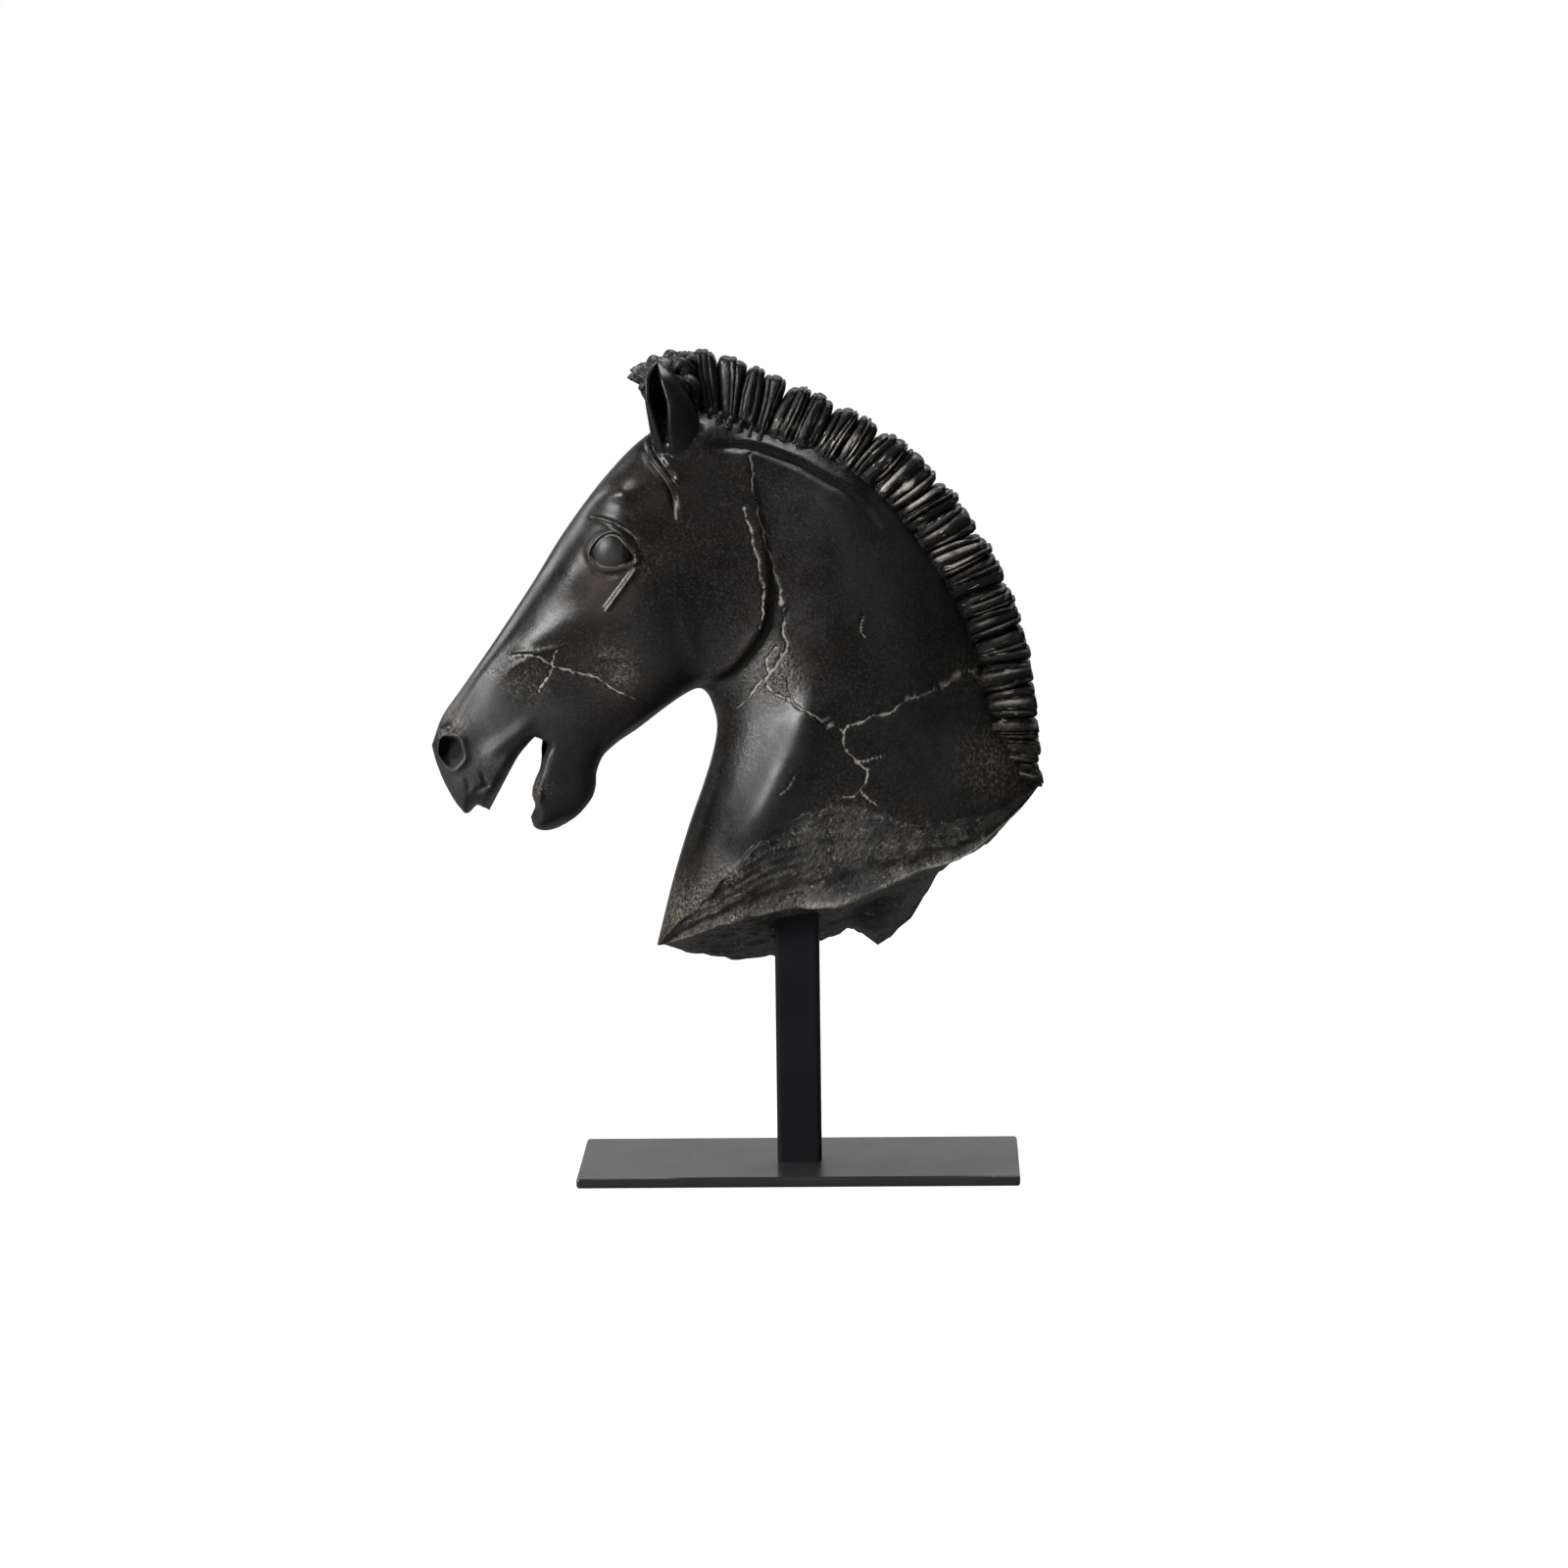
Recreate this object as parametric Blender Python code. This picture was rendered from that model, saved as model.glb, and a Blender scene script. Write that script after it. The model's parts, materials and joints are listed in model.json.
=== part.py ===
"""Horse head figurine on its stand: a cast head and neck with a broken lower edge,
held up by a square steel post on a flat steel plate.

Metres, +Z up. The origin is the centre of the plate's underside, the horse faces -X
and the side seen first is the -Y side. The free form of the head is drawn in
millimetres, square on, and brought to HEAD_LENGTH.
"""
import math

import bmesh
import bpy
import numpy as np

# Stand, in metres
PLATE_LENGTH = 0.250
PLATE_WIDTH = 0.100
PLATE_THICKNESS = 0.006
PLATE_CORNER = 0.0015
POST_SIDE = 0.025
POST_CORNER = 0.0025
POST_LENGTH = 0.1654
FIT_GAP = 0.0003
SOCKET_CUT = 0.080

# Cast head, in metres: nose to the tips of the last lock of the mane
HEAD_LENGTH = 0.345

# Height on the drawing of the socket's end, in millimetres
DRAWN_SEAT = 172

# Edges of the head and neck seen square on, as section number, x and z on the drawing.
# Sections run from the lips (0) by the mouth corner (2), the eye (6) and the poll (8)
# to the break (15).
OUTER_EDGE = [
    (0, -205.4, 246), (1, -199, 262.5), (2, -187.8, 278.3), (3, -168, 306), (4, -147, 337),
    (5, -127.5, 367.5), (6, -104, 398), (7, -80, 421), (8, -50, 436), (9, -15, 427),
    (10, 20, 414.5), (11, 52, 391), (12, 80, 354), (13, 101, 313), (14, 113, 265), (15, 138.5, 221),
]
INNER_EDGE = [
    (0, -130.5, 200.3), (0.6, -121.5, 207), (1, -115.5, 214.5), (1.5, -112.9, 222), (2, -112.2, 230),
    (2.5, -108.5, 239), (3, -102, 245.3), (4, -88.4, 254.7), (5, -74, 265.6), (6, -63, 273.2),
    (7, -54.5, 277.2), (8, -49.5, 275), (9, -46, 268), (10, -43.7, 257), (11, -45.8, 242.7),
    (12, -51.5, 224), (13, -60.5, 199), (14, -70, 168), (15, -79.8, 130),
]
LAST_SECTION = 15

# The open mouth: its front edge under the upper lip and its rear edge on the lower jaw
MOUTH_FRONT = [(0, -173.5, 208.5), (0.5, -166.5, 221.5), (1, -160.5, 232.5), (1.6, -154.3, 242.3)]
MOUTH_REAR = [(0, -150.2, 204.5), (0.3, -147.4, 211.4), (0.65, -149, 218.4), (1.1, -147.4, 225.4),
              (1.6, -143.8, 235)]
MOUTH_END = [(-148, 248.2), (-143.5, 249.6), (-140, 247.5)]
MOUTH_CORNER = 2
CORNER_SHARE = 0.575
CORNER_HALF_GAP = 0.022
UPPER_LIP = [(0, -205.4, 246), (0.25, -202.6, 235), (0.45, -197.5, 222.5), (0.62, -190.5, 210.8),
             (0.72, -185.6, 206.9), (0.79, -180.6, 211.6), (0.88, -176.8, 210.3), (1, -173.5, 208.5)]
CHIN = [(0, -150.2, 204.5), (0.25, -148.3, 199.2), (0.5, -143, 196.9), (0.75, -136.5, 197.6),
        (1, -130.5, 200.3)]
LIP_ROUND = 14
CHIN_ROUND = 10
MOUTH_ROUND = 7
THINNEST = 0.15

# Half widths of the sections: number, half width, share of the way from the outer to
# the inner edge where it is widest, and how full the outer and inner shoulders are
SECTIONS = [
    (0, 21, 0.36, 2.4, 2.2), (1, 24, 0.4, 2.4, 2.2), (2, 22, 0.42, 2.5, 2.4), (3, 23, 0.42, 2.8, 2.8),
    (4, 29, 0.42, 3.2, 3.2), (5, 36, 0.38, 3.4, 3.4), (6, 40, 0.36, 3.4, 3.4), (7, 38, 0.42, 2.8, 3.2),
    (8, 35, 0.5, 2.3, 2.6), (9, 34, 0.55, 2.4, 2.2), (10, 35, 0.57, 2.5, 1.9), (11, 38, 0.57, 2.6, 1.7),
    (12, 42, 0.58, 2.6, 1.6), (13, 45, 0.6, 2.6, 1.6), (14, 47, 0.64, 2.5, 1.7), (15, 48, 0.68, 2.4, 1.9),
]

# The break: the ragged lower edge of the skin on each side, and the lip between them as
# share of the way across, x, y and z
NEAR_BREAK = [(0, 138.5, 221), (0.06, 124, 216), (0.14, 106, 209), (0.25, 85, 206), (0.37, 60, 210),
              (0.48, 36, 216), (0.58, 12, 216), (0.66, -8, 207), (0.75, -27, 187), (0.86, -46, 168),
              (0.93, -62, 152), (1, -79.8, 130)]
FAR_BREAK = [(0, 138.5, 221), (0.05, 129, 207), (0.11, 118, 191), (0.2, 101, 177), (0.29, 85, 167),
             (0.34, 76, 152), (0.4, 62, 133), (0.47, 46, 122), (0.54, 32, 129), (0.62, 14, 122),
             (0.72, -10, 116), (0.82, -36, 114), (0.91, -60, 118), (1, -79.8, 130)]
BREAK_LIP = [(0, 138.5, 0, 221), (0.05, 129, -16, 212), (0.13, 112, -25, 197), (0.25, 88, -28, 182),
             (0.37, 62, -30, 174), (0.5, 36, -31, 161), (0.6, 12, -30, 157), (0.7, -10, -30, 155),
             (0.8, -38, -28, 149), (0.9, -62, -20, 139), (1, -79.8, 0, 130)]
LIP_AT = 0.45
BREAK_BEND_START = 12
BREAK_LUMP = 4.2
BREAK_LUMP_LENGTH = 17
RAGGED_WAVE = 1.5

# Relief of the skin. The cheek stands out from the neck by a step along its edge.
CHEEK_EDGE = [(-24, 420), (-20.5, 400), (-16, 378), (-12.5, 356), (-11.5, 336), (-14.5, 317),
              (-23.5, 302), (-34.6, 290), (-47.2, 283.4), (-59.3, 280)]
CHEEK_STEP = 8.5
CHEEK_FADE = 22
EYE = (-99.6, 360)
EYE_BALL_RADIUS = 10
EYE_BALL_HEIGHT = 4.5
EYE_LID_HEIGHT = 2.6
NOSTRIL = (-193, 245.6)
NOSTRIL_RADIUS = 7.8
NOSTRIL_DEPTH = 9
NOSTRIL_RIM = 2.4

# Ridges and grooves, as points of the line, height, spread and how much of it fades at an end
RIDGES = [
    ([(28, 306), (13, 272), (-4, 236), (-24, 196), (-42, 174), (-60, 154)], 5.5, 12, 0.25),
    ([(-10, 262), (-19, 240), (-30, 216), (-43, 194), (-58, 172)], -2.2, 10, 0.3),
    ([(20, 360), (24, 335), (24, 310), (20, 290)], 2, 16, 0.5),
    ([(-52, 417), (-20, 414), (7.4, 403.4), (31.8, 389.4), (54, 362)], -1.8, 3, 0.15),
    ([(-124, 373), (-118, 383), (-110.5, 389.5), (-101, 392.5), (-91, 392), (-82, 387)], 4.8, 6, 0.25),
    ([(-84, 338), (-112, 323), (-136, 311), (-160, 297), (-176, 280)], 2.6, 10, 0.4),
    ([(-140, 338), (-170, 297), (-181.5, 280), (-198, 259)], 1.8, 5, 0.3),
    ([(-176, 241), (-158.2, 254.2), (-141, 263)], 2.6, 4.5, 0.35),
    ([(-60, 278), (-88, 261), (-106, 243)], 1.6, 4, 0.25),
]

# Mounds, and hollows where the height is negative, as centre, height and spread
MOUNDS = [((22, 374), 3, 26), ((-52, 424), 6.5, 13), ((-70, 368), -2.5, 15), ((-98, 293), -2.2, 14),
          ((-150, 276), -1.8, 14)]

# Mane: roots and tips of the locks along the sections, where locks part deep and how deep,
# and how thick the comb of hair is. Between deep partings there are locks of about LOCK_SPAN.
MANE_ROOTS = OUTER_EDGE[:-2] + [(14, 111, 265), (15, 128, 219)]
MANE_TIPS = [(7.4, -74, 458), (8, -55, 468.5), (9, -6, 452.5), (10, 32, 434), (11, 71, 407.5),
             (12, 106, 366), (13, 125.5, 321), (14, 137.5, 267), (14.86, 139.6, 219)]
DEEP_PARTINGS = [(7.4, 2), (8.33, 5), (9.12, 6), (9.83, 4), (10.22, 3), (10.48, 5), (10.9, 4.5), (11.3, 5),
                 (11.97, 8), (12.93, 5), (13.5, 3.5), (14.1, 3), (14.86, 2)]
LOCK_SPAN = 0.29
SHALLOW_PARTING = 1.6
MANE_ROOT_SINK = 13
MANE_ROOT_HALF = 14
MANE_TIP_HALF = 9
LOCK_CREST = 2.2
LOCK_GROOVE = 4.5
LOCK_ROUND = 1.6

# Forelock: curls combed forward from a core over the poll, as tip x and z, root x and z.
# Each row has one curl in every lane, which is a place across the head and a drop.
CURL_ROWS = [(-91.5, 453.6, -71, 460), (-86, 461, -68, 456), (-77, 465.4, -63, 452), (-67, 466.6, -58, 449)]
CURL_LANES = [(0, 0), (9, 2), (-9, 2)]
CURL_WIDTH = 6
CURL_BULGE = 3.5
FORELOCK_CORE = (-68, 0, 449)
FORELOCK_HALF_LENGTH = 16
FORELOCK_HALF_WIDTH = 17
FORELOCK_HALF_HEIGHT = 14

# Ears: share of the way up, with the centre of each ring and its half sizes along and across
EAR_AXIS = [(0, -54, 12, 392), (0.3, -60.5, 19.5, 413), (0.6, -66, 22, 437), (0.85, -70.5, 21.5, 453),
            (1, -73, 19, 463)]
EAR_SIZE = [(0, 17, 9), (0.25, 15, 9), (0.5, 14.2, 9.8), (0.75, 11.5, 8.8), (0.92, 6.5, 6), (1, 0.8, 0.8)]
EAR_FACES = math.radians(243)
EAR_SLIT_LOW = math.radians(8)
EAR_SLIT_WIDE = math.radians(36)
EAR_WALL = 3
EAR_CUP_START = 0.34
EAR_CUP_RISE = 0.2

# How finely each form is cut into faces
SECTION_STEPS = [(0, 0.4, 3), (0.4, 2, 7), (2, 5, 10), (5, 6.4, 9), (6.4, 8, 5), (8, 14.2, 15), (14.2, 15, 2)]
UPPER_SHARES = [0, 0.03, 0.1, 0.2, 0.31, 0.41, 0.49, 0.56, 0.64, 0.74, 0.85, 0.94, 1]
LOWER_SHARES = [0, 0.06, 0.17, 0.32, 0.48, 0.63, 0.78, 0.9, 0.97, 1]
BREAK_ROWS = 9
LOCK_PLACES = [-1, -0.55, 0.1, 0.62]
MANE_ROWS = 10
CURL_SIDES = 7
CURL_RINGS = 4
CORE_SIDES = 12
CORE_RINGS = 7
EAR_SIDES = 9
EAR_RINGS = 9


def clear_scene():
    """Remove whatever the scene already holds."""
    for old in list(bpy.data.objects):
        bpy.data.objects.remove(old)


def through(rows, at):
    """Smooth curve through rows of (parameter, values...), read at the parameters given.

    Each span is a cubic whose slopes at its ends are the mean of the slopes of the spans
    on both sides, weighted by the other span's length.
    """
    rows = np.asarray(rows, dtype=float)
    knots, values = rows[:, 0], rows[:, 1:]
    at = np.asarray(at, dtype=float)
    spans = np.diff(knots)[:, None]
    steps = np.diff(values, axis=0) / spans
    slopes = np.empty_like(values)
    slopes[0], slopes[-1] = steps[0], steps[-1]
    slopes[1:-1] = (steps[:-1] * spans[1:] + steps[1:] * spans[:-1]) / (spans[1:] + spans[:-1])
    first = np.clip(np.searchsorted(knots, at, side="right") - 1, 0, len(knots) - 2)
    width = spans[first][..., 0][..., None]
    f = ((at - knots[first]) / spans[first][..., 0])[..., None]
    return ((1 + 2 * f) * (1 - f) ** 2 * values[first] + f * (1 - f) ** 2 * width * slopes[first]
            + f ** 2 * (3 - 2 * f) * values[first + 1] - f ** 2 * (1 - f) * width * slopes[first + 1])


def smooth_step(low, high, value):
    """Rise from 0 at low to 1 at high, as 3f^2 - 2f^3."""
    f = np.clip((value - low) / (high - low), 0, 1)
    return f * f * (3 - 2 * f)


def line_points(points, steps=5):
    """Smooth line through hand-set points, with so many steps between two of them."""
    rows = [(number, *point) for number, point in enumerate(points)]
    return through(rows, np.linspace(0, len(points) - 1, steps * (len(points) - 1) + 1))


def line_distance(x, z, line):
    """Distance from each x, z to the nearest stretch of a line, the side of it it lies on,
    and how far along the line that is, from 0 to 1."""
    best = np.full(x.shape, np.inf)
    side, along = np.zeros(x.shape), np.zeros(x.shape)
    for number, (start, step) in enumerate(zip(line[:-1], np.diff(line, axis=0))):
        dx, dz = x - start[0], z - start[1]
        share = np.clip((dx * step[0] + dz * step[1]) / (step ** 2).sum(), 0, 1)
        away = np.hypot(dx - share * step[0], dz - share * step[1])
        nearer = away < best
        best = np.where(nearer, away, best)
        side = np.where(nearer, np.sign(dx * step[1] - dz * step[0]), side)
        along = np.where(nearer, (number + share) / (len(line) - 1), along)
    return best, side, along


def ridge(x, z, points, height, spread, ends):
    """Rounded ridge height * exp(-(d / spread)^2) along a line, eased to nothing at its ends."""
    away, _, along = line_distance(x, z, line_points(points))
    eased = smooth_step(0, ends, along) * smooth_step(1, 1 - ends, along)
    return height * np.exp(-(away / spread) ** 2) * eased


def mound(x, z, centre, height, spread):
    """Rounded mound height * exp(-(d / spread)^2); a hollow where the height is negative."""
    return height * np.exp(-((x - centre[0]) ** 2 + (z - centre[1]) ** 2) / spread ** 2)


def dome(distance, radius):
    """Half-round cap: 1 at the middle, 0 from its radius on."""
    return np.sqrt(np.clip(1 - (distance / radius) ** 2, 0, 1))


def rounded(distance, radius):
    """Quarter round that rises from 0 at an edge to 1 a radius away."""
    return np.sqrt(1 - (1 - np.clip(distance / radius, 0, 1)) ** 2)


def relief(x, z):
    """How far the skin stands out or lies back at each place on the drawing."""
    away, side, along = line_distance(x, z, line_points(CHEEK_EDGE))
    out = CHEEK_STEP * (smooth_step(-2, 3, away * side) - 0.5) * np.exp(-away / CHEEK_FADE)
    out *= 0.45 + 0.55 * smooth_step(0.35, 0.7, along)
    out *= smooth_step(0, 0.12, along) * smooth_step(1, 0.85, along)
    for line, height, spread, ends in RIDGES:
        out += ridge(x, z, line, height, spread, ends)
    for centre, height, spread in MOUNDS:
        out += mound(x, z, centre, height, spread)
    across = np.hypot(x - EYE[0], z - EYE[1])
    out += EYE_BALL_HEIGHT * dome(across, EYE_BALL_RADIUS)
    out += EYE_LID_HEIGHT * (np.exp(-((across - EYE_BALL_RADIUS - 2) / 2.5) ** 2) - dome(across, EYE_BALL_RADIUS))
    across = np.hypot(x - NOSTRIL[0], z - NOSTRIL[1])
    out += NOSTRIL_RIM * np.exp(-((across - NOSTRIL_RADIUS - 2) / 2.5) ** 2)
    return out - NOSTRIL_DEPTH * dome(across, NOSTRIL_RADIUS)


def rough(x, y, z, size, seed):
    """Unevenness of broken cast between about -1 and 1: crossing waves, each bent by another,
    in set directions and of falling size, with creases where a wave's sign turns."""
    total = np.zeros_like(x)
    for wave in range(5):
        turned = seed + 2.4 * wave
        reach = size / (1 + 0.55 * wave)
        across = x * math.cos(turned) + z * math.sin(turned) + 0.8 * y * math.cos(3 * turned)
        bent = 1.7 * np.sin((z * math.cos(turned) - x * math.sin(turned)) / (1.9 * reach) + turned)
        swing = np.sin(across / reach + bent)
        total += (swing if wave % 2 else 1 - 2 * np.abs(swing)) / (1 + wave)
    return total / 2.28


def share_across(section, across):
    """Share of the way across a section for the grid's own number: 0 to 1 above the mouth,
    1 to 2 over the strip behind its corner, 2 to 3 below. The mouth line is drawn to the
    middle behind the face."""
    middle = CORNER_SHARE - 0.075 * smooth_step(MOUTH_CORNER, 6, section)
    upper, lower = middle - CORNER_HALF_GAP, middle + CORNER_HALF_GAP
    return np.where(across <= 1, across * upper,
                    np.where(across < 2, upper + (across - 1) * (lower - upper),
                             lower + (across - 2) * (1 - lower)))


def plan(section, across, break_edge):
    """Place on the drawing, as x and z, of points given by section and number across.

    A section is straight from the outer edge to the inner one. In front of the mouth corner
    it has two parts, and the ends bow out to the lips and the chin. Towards the break the
    sections bend to its edge, which is ragged.
    """
    share = share_across(section, across)[..., None]
    outer, inner = through(OUTER_EDGE, section), through(INNER_EDGE, section)
    spot = outer + share * (inner - outer)
    top, foot = through(OUTER_EDGE, MOUTH_CORNER), through(INNER_EDGE, MOUTH_CORNER)
    ends = [top + (CORNER_SHARE + side * CORNER_HALF_GAP) * (foot - top) for side in (-1, 1)]
    in_mouth = np.minimum(section, MOUTH_CORNER)
    bow = ((1 - in_mouth / MOUTH_CORNER) ** 2)[..., None]
    front = through(MOUTH_FRONT + [(MOUTH_CORNER, *ends[0])], in_mouth)
    rear = through(MOUTH_REAR + [(MOUTH_CORNER, *ends[1])], in_mouth)
    for part, begin, edge, start, end in ((across <= 1, 0, UPPER_LIP, outer, front),
                                          (across >= 2, 2, CHIN, rear, inner)):
        f = np.clip(across - begin, 0, 1)
        f = f[..., None]
        bulge = through(edge, f[..., 0]) - (1 - f) * np.array(edge[0][1:]) - f * np.array(edge[-1][1:])
        split = (part & (section < MOUTH_CORNER))[..., None]
        spot = np.where(split, start + f * (end - start) + bow * bulge, spot)
    run = np.clip((section - BREAK_BEND_START) / (LAST_SECTION - BREAK_BEND_START), 0, 1)[..., None] ** 1.5
    top, foot = through(OUTER_EDGE, LAST_SECTION), through(INNER_EDGE, LAST_SECTION)
    spot = spot + run * (through(break_edge, share[..., 0]) - top - share * (foot - top))
    tooth = dome(2 * share[..., 0] - 1, 1) * smooth_step(LAST_SECTION - 0.25, LAST_SECTION, section)
    return spot[..., 0], spot[..., 1] + RAGGED_WAVE * tooth * np.sin(23 * share[..., 0] + break_edge[1][1])


def mouth_outline():
    """Edge of the mouth opening from the upper lip round the corner to the lower jaw."""
    at = np.linspace(0, MOUTH_FRONT[-1][0], 20)
    return np.vstack([through(MOUTH_FRONT, at), MOUTH_END, through(MOUTH_REAR, at)[::-1]])


def half_width(section, across, x, z):
    """Half thickness W (1 - d^n)^(1/2) of each section, with d the way from its widest place
    to its edge, rounded down to nothing at the lips, chin and mouth, plus the relief."""
    share = share_across(section, across)
    width, widest, outer_full, inner_full = np.moveaxis(through(SECTIONS, section), -1, 0)
    off = np.where(share < widest, (widest - share) / widest, (share - widest) / (1 - widest))
    full = np.where(share < widest, outer_full, inner_full)
    half = width * np.sqrt(np.clip(1 - np.clip(off, 0, 1) ** full, 0, 1))
    for edge, radius in ((through(UPPER_LIP, np.linspace(0, 1, 36)), LIP_ROUND),
                         (through(CHIN, np.linspace(0, 1, 24)), CHIN_ROUND),
                         (mouth_outline(), MOUTH_ROUND)):
        half = half * rounded(line_distance(x, z, edge)[0], radius)
    return np.clip(half + relief(x, z) * smooth_step(0, 9, half), THINNEST, None)


def grid_faces(index, flip=False):
    """Four-sided faces over a grid of point numbers."""
    faces = np.stack([index[:-1, :-1], index[1:, :-1], index[1:, 1:], index[:-1, 1:]], axis=-1)
    return faces.reshape(-1, 4)[:, ::-1] if flip else faces.reshape(-1, 4)


def cut_corners(faces, in_middle):
    """Faces with three corners in the middle plane cut in two from the fourth corner, so
    that the two sides meet along edges alone."""
    three = in_middle[faces].sum(axis=1) == 3
    whole = faces[~three].tolist()
    for face in faces[three]:
        first = int(np.argmin(in_middle[face]))
        a, b, c, d = np.roll(face, -first).tolist()
        whole += [[a, b, c], [a, c, d]]
    return whole


def step_places(spans):
    """Places along a parameter from spans of (start, end, steps)."""
    parts = [np.linspace(start, end, round(steps), endpoint=False) for start, end, steps in spans]
    return np.append(np.concatenate(parts), spans[-1][1])


def head_surface():
    """Points and faces of the closed head and neck, on the drawing in millimetres.

    Two sides, each a half width out from the middle plane, meet along every edge, and
    the broken face runs from the end of one by its lip to the end of the other.
    """
    lines = np.append(UPPER_SHARES, 2 + np.array(LOWER_SHARES))
    section, across = np.meshgrid(step_places(SECTION_STEPS), lines, indexing="ij")
    on_edge = (across == 0) | (across == 3) | (section == 0)
    in_mouth = (section <= MOUTH_CORNER) & ((across == 1) | (across == 2))
    sides = []
    for sign, edge in ((-1, NEAR_BREAK), (1, FAR_BREAK)):
        x, z = plan(section, across, edge)
        half = np.where(on_edge | in_mouth, 0, half_width(section, across, x, z))
        sides.append(np.stack([x, sign * half, z], axis=-1))
    near, far = sides
    share = share_across(section[-1], across[-1])[None]
    run = np.linspace(0, 1, BREAK_ROWS)[:, None]
    lip = through(BREAK_LIP, share[0])[None]
    drop = np.clip(run / LIP_AT, 0, 1)[..., None]
    under = np.clip((run - LIP_AT) / (1 - LIP_AT), 0, 1)[..., None]
    broken = near[-1] + drop * (lip - near[-1]) + under * (far[-1] - lip)
    fade = (np.sin(np.pi * run) * dome(2 * share - 1, 1))[..., None]
    lump = BREAK_LUMP * rough(*np.moveaxis(broken, -1, 0), BREAK_LUMP_LENGTH, 0.7)[..., None]
    broken = broken + fade * lump * np.concatenate([0 * under, under - 1, -0.3 - 0.6 * under], axis=-1)

    number = np.arange(section.size).reshape(section.shape)
    far_number = number + number.size
    break_number = np.arange(broken[..., 0].size).reshape(broken.shape[:2]) + 2 * number.size
    gap = len(UPPER_SHARES)
    behind = int(np.argmax(section[:, 0] >= MOUTH_CORNER))
    faces = [grid_faces(part, flip) for part, flip in (
        (number[:, :gap], False), (number[:, gap:], False), (number[behind:, gap - 1:gap + 1], False),
        (far_number[:, :gap], True), (far_number[:, gap:], True),
        (far_number[behind:, gap - 1:gap + 1], True), (break_number, False))]
    points = np.vstack([near.reshape(-1, 3), far.reshape(-1, 3), broken.reshape(-1, 3)])
    return points, cut_corners(np.vstack(faces), points[:, 1] == 0)


def closed_rings(points, flip=False):
    """Points and faces of a closed body from rings of points, with a face over each end."""
    number = np.arange(points[..., 0].size).reshape(points.shape[:2])
    faces = grid_faces(np.hstack([number, number[:, :1]]), flip).tolist()
    return points.reshape(-1, 3), faces + [number[0].tolist(), number[-1][::-1].tolist()]


def lock_partings():
    """Where locks part and how deep: the deep partings, with shallow ones between."""
    places = []
    for (start, depth), (end, _) in zip(DEEP_PARTINGS[:-1], DEEP_PARTINGS[1:]):
        count = max(1, round((end - start) / LOCK_SPAN))
        places.append((start, depth))
        places += [(start + (end - start) * (k + 0.13 * math.sin(7 * k + 9 * start)) / count,
                    SHALLOW_PARTING * (1 + 0.5 * math.sin(5 * k + 3 * start))) for k in range(1, count)]
    return np.array(places + [DEEP_PARTINGS[-1]])


def mane_surface():
    """Points and faces of the mane: a comb of locks that stands on the crest of the neck.

    Along the crest each lock has a place q from -1 to 1 across it. A section's loop runs
    up the near side, over the tips and down the far side, with half thickness from the
    root's to the tip's, plus a lock's own round 1 - q^2, less the parting |q|^10.
    """
    partings = lock_partings()
    starts, spans = partings[:-1, 0], np.diff(partings[:, 0])
    place = np.array(LOCK_PLACES)
    sections = np.append((starts[:, None] + spans[:, None] * (place + 1) / 2).ravel(), partings[-1, 0])
    lock = np.append(np.repeat(np.arange(len(spans)), len(place)), len(spans) - 1)
    q = np.append(np.tile(place, len(spans)), 1.0)
    depth = np.where(q < 0, partings[lock, 1], partings[lock + 1, 1])
    root, tip = through(MANE_ROOTS, sections), through(MANE_TIPS, sections)
    out = tip - root
    out /= np.linalg.norm(out, axis=1)[:, None]
    root = root - MANE_ROOT_SINK * out
    loop = np.linspace(-1, 1, MANE_ROWS)[None]
    rise = np.clip(1.22 * (1 - np.abs(loop) ** 2.2), 0, 1)
    turned = np.sign(loop) * np.clip(2.4 * np.abs(loop), 0, 1) ** 0.55
    crown = LOCK_CREST * (1 - q ** 2) - LOCK_GROOVE * np.abs(q) ** 10
    half = MANE_ROOT_HALF + (MANE_TIP_HALF - MANE_ROOT_HALF) * rise
    half = half + crown[:, None] * smooth_step(0.2, 0.42, rise)
    uneven = 0.9 * np.sin(7.1 * lock) + 0.9 * q * np.sin(3.3 * lock)
    tips = uneven + 1 - depth * np.abs(q) ** 5 - LOCK_ROUND * q ** 2
    length = np.linalg.norm(tip - root, axis=1)[:, None] + tips[:, None] * smooth_step(0.5, 1, rise)
    x = root[:, :1] + rise * length * out[:, :1]
    z = root[:, 1:] + rise * length * out[:, 1:]
    return closed_rings(np.stack([x, half * turned, z], axis=-1), True)


def curl_surface(start, end, width):
    """Points and faces of one curl: a tube along start + t (end - start), arched up by
    4t(1 - t), as thick as width (1 - t^3)^(1/2)."""
    t = np.linspace(0, 1, CURL_RINGS)[:, None, None]
    turned = np.linspace(0, 2 * np.pi, CURL_SIDES, endpoint=False)[None, :, None]
    start, end = np.array(start, dtype=float), np.array(end, dtype=float)
    heading = (end - start) / np.linalg.norm(end - start)
    side = np.cross(heading, (0.05, 0.1, 1.0))
    side /= np.linalg.norm(side)
    up = np.cross(side, heading)
    thick = width * np.sqrt(np.clip(1 - t ** 3, 0.04, 1))
    centre = start + t * (end - start) + 4 * t * (1 - t) * np.array((0, 0, CURL_BULGE))
    return closed_rings(centre + thick * (np.cos(turned) * side + np.sin(turned) * up))


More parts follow.
